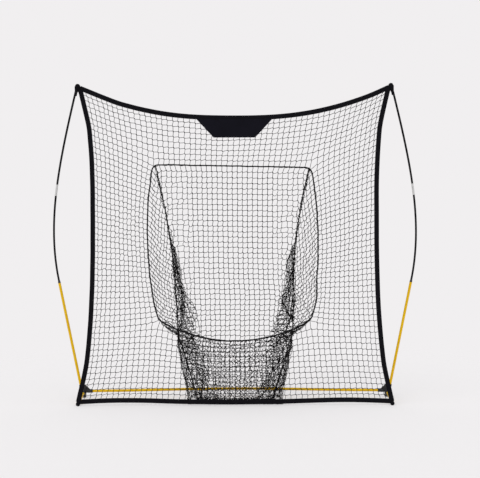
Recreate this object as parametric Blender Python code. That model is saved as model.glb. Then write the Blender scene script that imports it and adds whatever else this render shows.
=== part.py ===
"""Bow-frame target net: a square net with a ball-catching pocket, strung between two folding
legs and two fibreglass bows that plug into a steel base.

Metres, +Z up. The thrower stands on the -Y side, X runs left to right, and the origin is on the
ground in the middle of the object's outer box.
"""

import math

import bmesh
import bpy
import numpy as np
from mathutils import Matrix, Vector

# ---------------------------------------------------------------- driving dimensions
# fits
GAP = 0.0003            # between pieces that touch
PLAY = 0.0004           # radial room of a plug, rod or pin in its hole
EDGE = 0.0006           # width of a small moulded or turned edge

# net
NET_WIDTH = 2.134       # between the two leg tips, and between the two rod tips
TIP_HEIGHT = 2.172      # centre of the rod tips
NET_Y = -0.1707         # plane of the net
CORNER_IN = 0.030       # border corner, inboard of the rod tip
CORNER_DOWN = 0.024     # border corner, below the rod tip
WAIST_HALF = 0.963      # half width of the net where the sides are drawn in most
WAIST_HEIGHT = 1.30
SIDE_CURVE = 3.0        # power of the side's curve away from the waist
TOP_SAG = 0.186         # dip of the top border between its corners
TOP_CURVE = 2.15
BOTTOM_HEIGHT = 0.0245  # bottom border's centreline at the corners and in the middle
BOTTOM_RISE = 0.014     # how far the bottom border lifts off between them
FOOT_IN = 0.011         # side borders' lower ends, inboard of the leg tips
BORDER_WIDTH = 0.025
BORDER_THICK = 0.005
STRAND = 0.003          # width and thickness of the netting's strands
NET_ROOM = 0.0016       # between border and edge strand at the knots, less where it bows
MOUTH_ROOM = 0.0027     # the same between the mouth's rope and its edge strand
CELLS = 14              # squares across and up the net
MOUTH_COLUMNS = 8       # squares that the mouth takes across the net
MOUTH_ROWS = 9          # squares that it takes up the net
MOUTH_LOW_ROW = 3       # row of knots at which it starts

# mouth and pocket
MOUTH_DROP = 0.522      # the mouth's top, below the border's corners
MOUTH_CORNER = 0.575    # height of its lower corners
MOUTH_TOP_HALF = 0.535
MOUTH_LOW_HALF = 0.515
MOUTH_BULGE = 0.053     # how far the mouth's sides bow outwards
MOUTH_SAG = 0.135       # how far its lower edge hangs
MOUTH_ROUND = 0.045     # corner rounding of the rope
ROPE_RADIUS = 0.004
POCKET_WALL = 0.003
POCKET_DEPTH = 0.235    # how far the pocket's back hangs behind the net
POCKET_BELLY = 0.022
POCKET_FLOOR = 0.004    # underside of the pocket above the ground
POCKET_SEAM_LOW = 0.47  # seam height that belongs to the mouth's lower corner
POCKET_FOOT_HALF = 0.262
POCKET_FRONT_FOOT = 0.320  # half width of its front at the ground
POCKET_WAIST_HALF = 0.402
POCKET_HEEL_DEPTH = 0.205
POCKET_SHOULDER = 6     # power of the front's spread towards the mouth's lower corners
POCKET_FLARE = 2.2      # power of the seams' spread above the mouth's lower corners
POCKET_FILL = 1.6       # power of the back's lean: fuller when larger
SEAM_CORD_RADIUS = 0.0025

# header panel under the top border
HEADER_TOP_HALF = 0.262
HEADER_LOW_HALF = 0.141
HEADER_DROP = 0.118
HEADER_THICK = 0.0016

# base
CROSSBAR_Y = 0.1423
CROSSBAR_HEIGHT = 0.045
CROSSBAR_CAMBER = 0.014
TUBE_RADIUS = 0.0095
TUBE_WALL = 0.0012
HUB_OUT = 0.033         # crossing of upright and crossbar axes, outboard of the leg tips
COLLAR_WALL = 0.003
CROSS_SOCKET = 0.078    # crossbar collar's length from the crossing
CROSS_SEAT = 0.022      # end of the crossbar's bore, from the crossing
UPRIGHT_SOCKET = 0.044
UPRIGHT_SEAT = 0.014
HUB_BOSS = 0.0165
GUSSET_RUN = 0.066
GUSSET_FLAT = 0.027
GUSSET_THICK = 0.013
GUSSET_WEB = 0.005
GUSSET_RIM = 0.0035
FOOT_WIDTH = 0.030
JOINER_HALF = 0.070

# folding legs
PIVOT_IN = 0.014        # pivot, inboard of the crossing
PIVOT_FORWARD = 0.029   # pivot, ahead of the crossbar's axis
PIVOT_HEIGHT = 0.034
EYE_RADIUS = 0.0125
EYE_HEIGHT = 0.024
EAR_THICK = 0.006
EAR_RADIUS = 0.0145
BOLT_RADIUS = 0.003
BOLT_HEAD_RADIUS = 0.0065
BOLT_HEAD_RISE = 0.0035
BOLT_HEAD_RIM = 0.001   # straight part of the head's height
NUT_RADIUS = 0.0062
NUT_HEIGHT = 0.0045
PLUG_LENGTH = 0.032
SLEEVE_WALL = 0.0022
SLEEVE_LENGTH = 0.048
CAP_LIP = 0.001         # how far end caps stand out past the tube

# uprights and bows
UPRIGHT_LEAN = math.radians(12.2)   # outwards, seen from the front
UPRIGHT_BACK = math.radians(2.577)  # to the rear, seen from the side
UPRIGHT_LENGTH = 0.790
REDUCER_TAPER = 0.022
ROD_RADIUS = 0.005
ROD_SEAT = 0.028
FERRULE_RISE = 0.645    # ferrule's middle above the reducer
FERRULE_LENGTH = 0.075
FERRULE_WALL = 0.0011
TIP_RADIUS = 0.0102
TIP_SKIRT = 0.012
POUCH_RADIUS = 0.0160
POUCH_NECK = 0.0080
POUCH_LENGTH = 0.066
POUCH_TAPER = 0.026
TAB_WIDTH = 0.021
TAB_THICK = 0.004

# snap buttons and rivets
BUTTON_RADIUS = 0.0032
BUTTON_PROUD = 0.0024
BUTTON_FLANGE = 0.0042
LEAF_LENGTH = 0.030
LEAF_WIDTH = 0.006
LEAF_THICK = 0.0008
BUTTON_UP = 0.031       # upright's button, from the crossing along the upright
BUTTON_OUT = 0.030      # crossbar's button, from the middle
RIVET_RADIUS = 0.0022
RIVET_HEAD = 0.0042
RIVET_RISE = 0.0014

# how finely curves are divided
SPAN = 36               # steps along a border
EDGE_STEPS = 10         # steps along an edge of the mouth
SMOOTHING = 560         # rounds in which the netting's knots settle between their neighbours
POCKET_FRONT = 6        # squares across the pocket's front and back
POCKET_SIDE = 2         # squares across a side
POCKET_LOW_ROWS = 4     # rows of the pocket below the mouth's lower corners
POCKET_HIGH_ROWS = 6    # rows beside the mouth
CORNER_STEPS = 4        # steps round a corner of the mouth's rope
DOME_STEPS = 4
BOSS_STEPS = 8
CAMBER_STEPS = 5        # steps along each half of the crossbar
FINE = 16
ROUND = 16
SMALL = 12
HEX = 6

# worked out from the above
TUBE_BORE = TUBE_RADIUS - TUBE_WALL
SOCKET_BORE = TUBE_RADIUS + PLAY
COLLAR_RADIUS = SOCKET_BORE + COLLAR_WALL
CAP_RADIUS = TUBE_RADIUS + CAP_LIP
SLEEVE_BORE = CAP_RADIUS + PLAY
SLEEVE_RADIUS = SLEEVE_BORE + SLEEVE_WALL
TIP_HALF = NET_WIDTH / 2
CORNER_HALF = TIP_HALF - CORNER_IN
CORNER_HEIGHT = TIP_HEIGHT - CORNER_DOWN
FOOT_HALF = TIP_HALF - FOOT_IN
HUB_HALF = TIP_HALF + HUB_OUT
MOUTH_TOP = CORNER_HEIGHT - MOUTH_DROP
UP = Vector((0, 0, 1))
BACK = Vector((0, 1, 0))


# ---------------------------------------------------------------- materials
def material(name, colour, roughness, metallic=0.0):
    mat = bpy.data.materials.new(name)
    mat.use_nodes = True
    shader = mat.node_tree.nodes["Principled BSDF"]
    shader.inputs["Base Color"].default_value = (*colour, 1)
    shader.inputs["Roughness"].default_value = roughness
    shader.inputs["Metallic"].default_value = metallic
    return mat


# ---------------------------------------------------------------- modelling helpers
def place(name, bm, mat, origin=Vector((0, 0, 0)), turn=None, smooth=True, facing=False):
    """Turn a bmesh into a named object whose own origin is at the given point.

    facing is true where the faces point outwards already.
    """
    if not facing:
        bmesh.ops.recalc_face_normals(bm, faces=bm.faces)
    mesh = bpy.data.meshes.new(name)
    bm.to_mesh(mesh)
    bm.free()
    if mat:
        mesh.materials.append(mat)
    if smooth:
        mesh.shade_smooth()
        mesh.set_sharp_from_angle(angle=math.radians(35))
    obj = bpy.data.objects.new(name, mesh)
    bpy.context.collection.objects.link(obj)
    basis = (turn or Matrix.Identity(3)).to_4x4()
    obj.matrix_world = Matrix.Translation(origin) @ basis
    return obj


def aimed(direction, side=BACK):
    """Rotation whose Z is the direction, and whose Y is as near as it can be to side."""
    z = Vector(direction).normalized()
    if side.cross(z).length < EDGE:
        side = UP
    x = side.cross(z).normalized()
    return Matrix((x, z.cross(x), z)).transposed()


def lathe(name, profile, mat, origin, direction, sides=ROUND):
    """Turn a profile of (radius, height) about the direction. It closes on itself or on the axis."""
    bm = bmesh.new()
    points = [bm.verts.new((r, 0, h)) for r, h in profile]
    closed = profile[0][0] > 0
    pairs = list(zip(points, points[1:])) + ([(points[-1], points[0])] if closed else [])
    edges = [bm.edges.new(pair) for pair in pairs]
    bmesh.ops.spin(bm, geom=points + edges, cent=(0, 0, 0), axis=(0, 0, 1),
                   angle=math.tau, steps=sides, use_duplicate=False)
    bmesh.ops.remove_doubles(bm, verts=bm.verts, dist=GAP / 30)
    return place(name, bm, mat, Vector(origin), aimed(direction))


def dome(radius, height, steps, start=90, end=0):
    """Profile points of an arc about (0, height), from start to end in degrees above the equator."""
    turns = [math.radians(start + (end - start) * k / steps) for k in range(steps + 1)]
    points = [(radius * math.cos(a), height + radius * math.sin(a)) for a in turns]
    return [(0 if r < GAP / 100 else r, h) for r, h in points]


def ring_outline(radius, sides):
    """Regular outline with a corner at +Y, so that it reaches its full radius along Y."""
    turns = [math.pi / 2 + math.tau * k / sides for k in range(sides)]
    return [(radius * math.cos(a), radius * math.sin(a)) for a in turns]


def band_outline(width, thick):
    """Flat webbing with its long edges eased."""
    w, t, e = width / 2, thick / 2, thick / 4
    half = [(w, -t + e), (w, t - e), (w - e, t), (-w + e, t)]
    return half + [(-x, -y) for x, y in half]


def sweep(name, path, outlines, mat, side=BACK, loop=False):
    """Carry one outline, or an outer and an inner one, along a path. side is each outline's Y."""
    bm = bmesh.new()
    path = [Vector(p) for p in path]
    count = len(path)
    skins = []
    for outline in outlines:
        rings = []
        for k, centre in enumerate(path):
            before = path[k - 1] if k or loop else centre
            after = path[(k + 1) % count] if k < count - 1 or loop else centre
            turn = aimed(after - before, side)
            rings.append([bm.verts.new(centre + turn @ Vector((x, y, 0))) for x, y in outline])
        spans = list(zip(rings, rings[1:])) + ([(rings[-1], rings[0])] if loop else [])
        for near, far in spans:
            for k in range(len(outline)):
                bm.faces.new((near[k - 1], near[k], far[k], far[k - 1]))
        skins.append(rings)
    if not loop:
        for end in (0, -1):
            if len(skins) == 1:
                bm.faces.new(skins[0][end])
            else:
                outer, inner = skins[0][end], skins[1][end]
                for k in range(len(outer)):
                    bm.faces.new((outer[k - 1], outer[k], inner[k], inner[k - 1]))
    return place(name, bm, mat)


def tube(name, path, radius, bore, mat, sides=ROUND, side=BACK):
    return sweep(name, path, [ring_outline(radius, sides), ring_outline(bore, sides)], mat, side)


def rod(name, path, radius, mat, sides=SMALL):
    return sweep(name, path, [ring_outline(radius, sides)], mat)


def prism(name, corners, low, high, mat, turn=None, origin=Vector((0, 0, 0))):
    """Extrude a flat outline of (x, y) from low to high along its own Z."""
    bm = bmesh.new()
    base = bm.faces.new([bm.verts.new((x, y, low)) for x, y in corners])
    lifted = bmesh.ops.extrude_face_region(bm, geom=[base], use_keep_orig=True)
    raised = [v for v in lifted["geom"] if isinstance(v, bmesh.types.BMVert)]
    bmesh.ops.translate(bm, verts=raised, vec=(0, 0, high - low))
    return place(name, bm, mat, origin, turn, smooth=False)


def slot_outline(radius, length, sides):
    """Round end about the origin, carried straight on for a length along +Y."""
    turns = [math.pi * (1 + k / sides) for k in range(sides + 1)]
    arc = [(radius * math.cos(a), radius * math.sin(a)) for a in turns]
    return arc + [(radius, length), (-radius, length)]


def combine(target, tool, operation):
    """Add or cut away a guide body, which stays in the file as a wire guide."""
    step = target.modifiers.new(tool.name, "BOOLEAN")
    step.operation = operation
    step.solver = "EXACT"
    step.object = tool
    tool.hide_render = True
    tool.display_type = "WIRE"


def add(target, *tools):
    for tool in tools:
        combine(target, tool, "UNION")


def cut(target, *tools):
    for tool in tools:
        combine(target, tool, "DIFFERENCE")


def spread(start, end, count):
    return [start + (end - start) * k / count for k in range(count + 1)]


# ---------------------------------------------------------------- layout
def crossing(s):
    """Where an upright's axis meets the crossbar's. s is -1 on the left and 1 on the right."""
    return Vector((s * HUB_HALF, CROSSBAR_Y, CROSSBAR_HEIGHT))


def upright_axis(s):
    return Vector((s * math.tan(UPRIGHT_LEAN), math.tan(UPRIGHT_BACK), 1)).normalized()


def pivot(s):
    return Vector((s * (HUB_HALF - PIVOT_IN), CROSSBAR_Y - PIVOT_FORWARD, PIVOT_HEIGHT))


def leg_tip(s):
    """Centre of the leg's round end, which stands on the ground inside its sleeve."""
    return Vector((s * TIP_HALF, NET_Y, SLEEVE_RADIUS))


def bow(s, rise):
    """Point of the rod's axis at a height above the mouth of its reducer.

    Below the mouth it follows the upright. Above it, it bends as a rod pulled at its tip does,
    most at its foot, and ends over the net's corner.
    """
    foot = crossing(s) + (UPRIGHT_LENGTH + REDUCER_TAPER) * upright_axis(s)
    height = TIP_HEIGHT - foot.z
    slope = upright_axis(s) / upright_axis(s).z
    tip = Vector((s * TIP_HALF, NET_Y, TIP_HEIGHT))
    turn = (foot + slope * height - tip) / (2 * height / 3)
    bend = 0
    if rise > 0:
        bend = rise - height / 3 * (1 - (1 - rise / height) ** 3)
    return foot + slope * rise - turn * bend


def bow_height():
    return TIP_HEIGHT - bow(1, 0).z


def crossbar_point(x):
    """The crossbar rises a little between its sockets, and is level in them."""
    mouth = HUB_HALF - CROSS_SOCKET
    rise = CROSSBAR_CAMBER * max(0, 1 - (x / mouth) ** 2) ** 2
    return Vector((x, CROSSBAR_Y, CROSSBAR_HEIGHT + rise))


def side_half(z):
    """Half width of the net's side border at a height."""
    if z > WAIST_HEIGHT:
        share = (z - WAIST_HEIGHT) / (CORNER_HEIGHT - WAIST_HEIGHT)
        return WAIST_HALF + (CORNER_HALF - WAIST_HALF) * share ** SIDE_CURVE
    share = (WAIST_HEIGHT - z) / (WAIST_HEIGHT - BOTTOM_HEIGHT)
    return WAIST_HALF + (FOOT_HALF - WAIST_HALF) * share ** SIDE_CURVE


def top_height(x):
    return CORNER_HEIGHT - TOP_SAG * (1 - abs(x / CORNER_HALF) ** TOP_CURVE)


def bottom_height(x):
    share = min(1, abs(x) / FOOT_HALF)
    return BOTTOM_HEIGHT + BOTTOM_RISE * math.sin(math.pi * share ** 2)


def mouth_half(z):
    share = (z - MOUTH_CORNER) / (MOUTH_TOP - MOUTH_CORNER)
    straight = MOUTH_LOW_HALF + (MOUTH_TOP_HALF - MOUTH_LOW_HALF) * share
    return straight + 4 * MOUTH_BULGE * share * (1 - share)


def mouth_floor(x):
    return MOUTH_CORNER - MOUTH_SAG * (1 - (x / MOUTH_LOW_HALF) ** 2)


def in_net(x, z, behind=0.0):
    return Vector((x, NET_Y + behind, z))


# ---------------------------------------------------------------- curves in the net's plane
def moved_in(path, distance):
    """The curve that runs beside a path of (x, z) points, to its left."""
    path = np.array(path)
    along = np.gradient(path, axis=0)
    along /= np.linalg.norm(along, axis=1)[:, None]
    return path + distance * np.column_stack((-along[:, 1], along[:, 0]))


def crossing_of(first, second):
    """Where two curves of (x, z) points cross, as a length in points along each."""
    for i in range(len(first) - 1):
        for j in range(len(second) - 1):
            step, other = first[i + 1] - first[i], second[j + 1] - second[j]
            area = step[0] * other[1] - step[1] * other[0]
            away = second[j] - first[i]
            if abs(area) < 1e-12:
                continue
            a = (away[0] * other[1] - away[1] * other[0]) / area
            b = (away[0] * step[1] - away[1] * step[0]) / area
            if 0 <= a <= 1 and 0 <= b <= 1:
                return i + a, j + b
    raise ValueError("the borders do not meet")


def shared_out(path, count, start=0.0, end=None):
    """Evenly spaced points along a curve, between two lengths counted in its points."""
    path = np.array(path)
    end = len(path) - 1 if end is None else end
    index = np.arange(len(path))
    dense = np.linspace(start, end, SPAN * count)
    fine = np.column_stack([np.interp(dense, index, path[:, k]) for k in (0, 1)])
    length = np.concatenate([[0], np.cumsum(np.linalg.norm(np.diff(fine, axis=0), axis=1))])
    even = np.linspace(0, length[-1], count + 1)
    return np.column_stack([np.interp(even, length, fine[:, k]) for k in (0, 1)])


def border_lines():
    """Centrelines of the four borders, anticlockwise as the thrower sees them."""
    steps = SPAN
    bottom = [(x, bottom_height(x)) for x in spread(-FOOT_HALF, FOOT_HALF, steps)]
    right = [(side_half(z), z) for z in spread(BOTTOM_HEIGHT, CORNER_HEIGHT, steps)]
    top = [(x, top_height(x)) for x in spread(CORNER_HALF, -CORNER_HALF, steps)]
    left = [(-x, z) for x, z in reversed(right)]
    return {"bottom": bottom, "right": right, "top": top, "left": left}


def mouth_edges(outset=0.0):
    """The mouth's four edges, moved out by outset: bottom, right, top and left."""
    low, high = MOUTH_LOW_HALF + outset, MOUTH_TOP_HALF + outset
    bottom = [(x, mouth_floor(x * MOUTH_LOW_HALF / low) - outset) for x in spread(-low, low, EDGE_STEPS)]
    heights = spread(MOUTH_CORNER, MOUTH_TOP, EDGE_STEPS)
    stretch = (MOUTH_TOP - MOUTH_CORNER + 2 * outset) / (MOUTH_TOP - MOUTH_CORNER)
    right = [(mouth_half(z) + outset, MOUTH_CORNER - outset + (z - MOUTH_CORNER) * stretch)
             for z in heights]
    top = [(x, MOUTH_TOP + outset) for x in spread(high, -high, EDGE_STEPS)]
    left = [(-x, z) for x, z in reversed(right)]
    return [bottom, right, top, left]


def knots():
    """Grid of the netting's knots as [column][row] -> (x, z), eased between borders and mouth."""
    inset = BORDER_WIDTH / 2 + NET_ROOM + STRAND / 2
    lines = border_lines()
    inner = {key: moved_in(line, inset) for key, line in lines.items()}
    order = ["bottom", "right", "top", "left"]
    meets = {}
    for key, following in zip(order, order[1:] + order[:1]):
        tail, head = crossing_of(inner[key][::-1], inner[following])
        meets.setdefault(key, {})["end"] = len(inner[key]) - 1 - tail
        meets.setdefault(following, {})["start"] = head
    edge = {key: shared_out(inner[key], CELLS, meets[key]["start"], meets[key]["end"])
            for key in order}
    grid = np.zeros((CELLS + 1, CELLS + 1, 2))
    fixed = np.zeros((CELLS + 1, CELLS + 1), dtype=bool)
    grid[:, 0], grid[:, -1] = edge["bottom"], edge["top"][::-1]
    grid[-1, :], grid[0, :] = edge["right"], edge["left"][::-1]
    fixed[:, [0, -1]] = fixed[[0, -1], :] = True
    for i in range(1, CELLS):
        for j in range(1, CELLS):
            grid[i, j] = grid[i, 0] + (grid[i, -1] - grid[i, 0]) * j / CELLS
    left, right, low, high = mouth_span()
    squares = (MOUTH_COLUMNS, MOUTH_ROWS, MOUTH_COLUMNS, MOUTH_ROWS)
    ring = [shared_out(line, count) for line, count in
            zip(mouth_edges(ROPE_RADIUS + MOUTH_ROOM + STRAND / 2), squares)]
    grid[left:right + 1, low], grid[right, low:high + 1] = ring[0], ring[1]
    grid[left:right + 1, high], grid[left, low:high + 1] = ring[2][::-1], ring[3][::-1]
    fixed[left:right + 1, low:high + 1] = True
    for _ in range(SMOOTHING):
        mean = (grid[:-2, 1:-1] + grid[2:, 1:-1] + grid[1:-1, :-2] + grid[1:-1, 2:]) / 4
        grid[1:-1, 1:-1] = np.where(fixed[1:-1, 1:-1, None], grid[1:-1, 1:-1], mean)
    return grid


def mouth_span():
    """Columns and rows of the knots along the mouth: left, right, low and high."""
    left = (CELLS - MOUTH_COLUMNS) // 2
    return left, left + MOUTH_COLUMNS, MOUTH_LOW_ROW, MOUTH_LOW_ROW + MOUTH_ROWS


# ---------------------------------------------------------------- netting
def netting(name, grid, columns, rows, open_rows, mat):
    """A flat grid of strands between two columns and two rows of knots.

    open_rows are rows of the neighbouring net: strands run up to them and stop a gap short.
    """
    bm = bmesh.new()
    half = STRAND / 2
    (first, last), (low, high) = columns, rows
    corners = {}

    def has(i, j):
        return first <= i <= last and low <= j <= high

    def towards(i, j, di, dj):
        """Direction of the neighbouring knot, or straight on from the opposite one."""
        if has(i + di, j + dj):
            step = grid[i + di, j + dj] - grid[i, j]
        else:
            step = grid[i, j] - grid[i - di, j - dj]
        return step / np.linalg.norm(step)

    def corner(i, j, di, dj):
        key = (i, j, di, dj)
        if key not in corners:
            across, up = towards(i, j, di, 0), towards(i, j, 0, dj)
            reach = half + GAP if j in open_rows else half
            skew = abs(across[0] * up[1] - across[1] * up[0])
            x, z = grid[i, j] + (half * across + reach * up) / skew
            corners[key] = bm.verts.new(in_net(x, z, -half))
        return corners[key]

    for i in range(first, last + 1):
        for j in range(low, high + 1):
            closed = j not in open_rows
            if closed:
                bm.faces.new([corner(i, j, *q) for q in ((-1, -1), (1, -1), (1, 1), (-1, 1))])
            if closed and i < last:
                bm.faces.new([corner(i, j, 1, -1), corner(i + 1, j, -1, -1),
                              corner(i + 1, j, -1, 1), corner(i, j, 1, 1)])
            if j < high:
                bm.faces.new([corner(i, j, -1, 1), corner(i, j, 1, 1),
                              corner(i, j + 1, 1, -1), corner(i, j + 1, -1, -1)])
    lifted = bmesh.ops.extrude_face_region(bm, geom=bm.faces[:], use_keep_orig=True)
    raised = [v for v in lifted["geom"] if isinstance(v, bmesh.types.BMVert)]
    bmesh.ops.translate(bm, verts=raised, vec=(0, STRAND, 0))
    return place(name, bm, mat, smooth=False)


def front_net(mat):
    grid = knots()
    left, right, low, high = mouth_span()
    netting("net_upper", grid, (0, CELLS), (high, CELLS), (), mat)
    netting("net_lower", grid, (0, CELLS), (0, low), (), mat)
    netting("net_left", grid, (0, left), (low, high), (low, high), mat)
    netting("net_right", grid, (right, CELLS), (low, high), (low, high), mat)


def rope_path():
    """The mouth's outline with its four corners rounded."""
    path = []
    edges = mouth_edges()
    for edge, following in zip(edges, edges[1:] + edges[:1]):
        corner = np.array(following[0])
        keep = [p for p in map(np.array, edge)
                if min(np.linalg.norm(p - edge[0]), np.linalg.norm(p - edge[-1])) > MOUTH_ROUND]
        tail, head = np.array(edge[-2]) - corner, np.array(following[1]) - corner
        start = corner + tail / np.linalg.norm(tail) * MOUTH_ROUND
        end = corner + head / np.linalg.norm(head) * MOUTH_ROUND
        path += keep
        for t in spread(0, 1, CORNER_STEPS):
            path.append((1 - t) ** 2 * start + 2 * t * (1 - t) * corner + t * t * end)
    return [in_net(x, z) for x, z in path]


def mouth_rope(mat):
    return sweep("mouth_rope", rope_path(), [ring_outline(ROPE_RADIUS, 6)], mat, loop=True)


# ---------------------------------------------------------------- borders and corners
def border(name, line, mat, width=BORDER_WIDTH, thick=BORDER_THICK, step=2):
    path = [in_net(x, z) for x, z in line[::step]]
    return sweep(name, path, [band_outline(width, thick)], mat)


def corner_sleeve(s, mat):
    """Webbing sleeve that slips over the leg's tip. It is closed at the front."""
    tip = leg_tip(s)
    ahead = (tip - pivot(s)).normalized()
    outer = dome(SLEEVE_RADIUS, 0, DOME_STEPS) + [(SLEEVE_RADIUS, -SLEEVE_LENGTH)]
    inner = [(SLEEVE_BORE, -SLEEVE_LENGTH)] + dome(SLEEVE_BORE, 0, DOME_STEPS, 0, 90)
    tag = "left" if s < 0 else "right"
    grown = dome(SLEEVE_RADIUS + GAP, 0, DOME_STEPS) + [(SLEEVE_RADIUS + GAP, -SLEEVE_LENGTH - GAP)]
    grown.append((0, -SLEEVE_LENGTH - GAP))
    guide = lathe(f"guide_sleeve_{tag}", grown, mat, tip, ahead)
    lathe(f"corner_sleeve_{tag}", outer + inner, mat, tip, ahead)
    return guide


def tip_pouch(s, mat, guides):
    """Padded pouch over the rod's tip, with a tab that is sewn to the net's corner."""
    tag = "left" if s < 0 else "right"
    top = bow(s, bow_height())
    along = (top - bow(s, bow_height() - GAP)).normalized()
    neck = ROD_RADIUS + PLAY
    outer = dome(POUCH_RADIUS, 0, DOME_STEPS) + [(POUCH_RADIUS, -TIP_SKIRT / 2),
                                        (POUCH_NECK, -TIP_SKIRT - POUCH_TAPER),
                                        (POUCH_NECK, -POUCH_LENGTH), (0, -POUCH_LENGTH)]
    inner = dome(TIP_RADIUS + PLAY, 0, DOME_STEPS) + [(TIP_RADIUS + PLAY, -TIP_SKIRT - PLAY),
                                             (neck, -TIP_SKIRT - POUCH_TAPER / 2),
                                             (neck, -POUCH_LENGTH - GAP),
                                             (0, -POUCH_LENGTH - GAP)]
    pouch = lathe(f"tip_pouch_{tag}", outer, mat, top, along)
    corner = in_net(s * CORNER_HALF, CORNER_HEIGHT)
    reach = (corner - top).length
    w = TAB_WIDTH / 2
    tab = prism(f"guide_tab_{tag}", [(-w, 0), (w, 0), (w, reach), (-w, reach)],
                -TAB_THICK / 2, TAB_THICK / 2, mat, aimed(-BACK, corner - top), top)
    hollow = lathe(f"guide_pouch_{tag}", inner, mat, top, along)
    add(pouch, tab)
    cut(pouch, hollow, *guides)


def borders_and_corners(mat, sleeve_mat):
    lines = border_lines()
    strips = {key: border(f"border_{key}", line, mat) for key, line in lines.items()}
    room = 2 * GAP
    wide = {key: border(f"guide_{key}", line, mat, BORDER_WIDTH + room, 3 * BORDER_THICK)
            for key, line in lines.items() if key != "bottom"}
    sleeves = [corner_sleeve(s, sleeve_mat) for s in (-1, 1)]
    cut(strips["top"], wide["left"], wide["right"])
    cut(strips["bottom"], wide["left"], wide["right"], *sleeves)
    cut(strips["left"], sleeves[0])
    cut(strips["right"], sleeves[1])
    tip_pouch(-1, sleeve_mat, [wide["left"], wide["top"]])
    tip_pouch(1, sleeve_mat, [wide["right"], wide["top"]])


def header_panel(mat):
    """Blank fabric panel that hangs from the top border in front of the net."""
    edge = [(x, top_height(x) - BORDER_WIDTH / 2 - GAP) for x in
            spread(-HEADER_TOP_HALF, HEADER_TOP_HALF, SMALL)]
    low = min(z for _, z in edge) - HEADER_DROP
    outline = edge + [(HEADER_LOW_HALF, low), (-HEADER_LOW_HALF, low)]
    front = STRAND / 2 + GAP
    turn = Matrix(((1, 0, 0), (0, 0, -1), (0, 1, 0)))
    prism("header_panel", outline, front, front + HEADER_THICK, mat, turn, in_net(0, 0))


# ---------------------------------------------------------------- pocket
def seam(share):
    """Half width, depth and height of a back seam. share runs from 0 at the ground to 1."""
    height = POCKET_FLOOR + (MOUTH_TOP - POCKET_FLOOR) * share
    low_share = POCKET_SEAM_LOW / MOUTH_TOP
    if share < low_share:
        half = POCKET_FOOT_HALF + (POCKET_WAIST_HALF - POCKET_FOOT_HALF) * share / low_share
        depth = POCKET_HEEL_DEPTH + (POCKET_DEPTH - POCKET_HEEL_DEPTH) * (
            math.sin(math.pi / 2 * share / low_share))
    else:
        above = (share - low_share) / (1 - low_share)
        top = MOUTH_TOP_HALF - 4 * ROPE_RADIUS
        half = POCKET_WAIST_HALF + (top - POCKET_WAIST_HALF) * above ** POCKET_FLARE
        near = 2 * (ROPE_RADIUS + POCKET_WALL)
        depth = near + (POCKET_DEPTH - near) * (1 - above ** POCKET_FILL)
    return half, depth, height


def pocket_row(front_half, front_height, share):
    """One row of the pocket's skin: front from left to right, then right side, back, left side.

    front_height gives the height at an x on the front.
    """
    skin = ROPE_RADIUS + GAP + POCKET_WALL
    half, depth, height = seam(share)
    fronts = [(x, skin, front_height(x)) for x in spread(-front_half, front_half, POCKET_FRONT)]
    backs = [(x, depth + POCKET_BELLY * (1 - (x / half) ** 2), height)
             for x in spread(half, -half, POCKET_FRONT)]
    row = fronts[:]
    for start, end in ((fronts[-1], backs[0]), (backs[-1], fronts[0])):
        if start is backs[-1]:
            row += backs
        for k in range(1, POCKET_SIDE):
            row.append([a + (b - a) * k / POCKET_SIDE for a, b in zip(start, end)])
    return [in_net(x, z, y) for x, y, z in row]


def pocket_rows():
    rows = []
    low_share = POCKET_SEAM_LOW / MOUTH_TOP
    for k in range(POCKET_LOW_ROWS + 1):
        share = k / POCKET_LOW_ROWS
        front_half = POCKET_FRONT_FOOT + (POCKET_WAIST_HALF - POCKET_FRONT_FOOT) * (
            math.sin(math.pi / 2 * share))
        front_half += (MOUTH_LOW_HALF - POCKET_WAIST_HALF) * share ** POCKET_SHOULDER

        def height(x, share=share, front_half=front_half):
            rim = mouth_floor(x * MOUTH_LOW_HALF / front_half)
            return POCKET_FLOOR + (rim - POCKET_FLOOR) * share
        rows.append(pocket_row(front_half, height, low_share * share))
    for k in range(1, POCKET_HIGH_ROWS + 1):
        share = k / POCKET_HIGH_ROWS
        z = MOUTH_CORNER + (MOUTH_TOP - MOUTH_CORNER) * share

        def level(x, z=z):
            return z
        rows.append(pocket_row(mouth_half(z), level, low_share + (1 - low_share) * share))
    return rows


def pocket_floor(bm, ring):
    """Squares between the front, the sides and the back of the lowest row."""
    lines = [ring[:POCKET_FRONT + 1]]
    for k in range(1, POCKET_SIDE):
        left, right = ring[-k], ring[POCKET_FRONT + k]
        inner = [bm.verts.new(left.co.lerp(right.co, share))
                 for share in spread(0, 1, POCKET_FRONT)[1:-1]]
        lines.append([left, *inner, right])
    lines.append(ring[POCKET_FRONT + POCKET_SIDE:][:POCKET_FRONT + 1][::-1])
    for near, far in zip(lines, lines[1:]):
        for k in range(POCKET_FRONT):
            bm.faces.new((near[k], far[k], far[k + 1], near[k + 1]))


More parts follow.
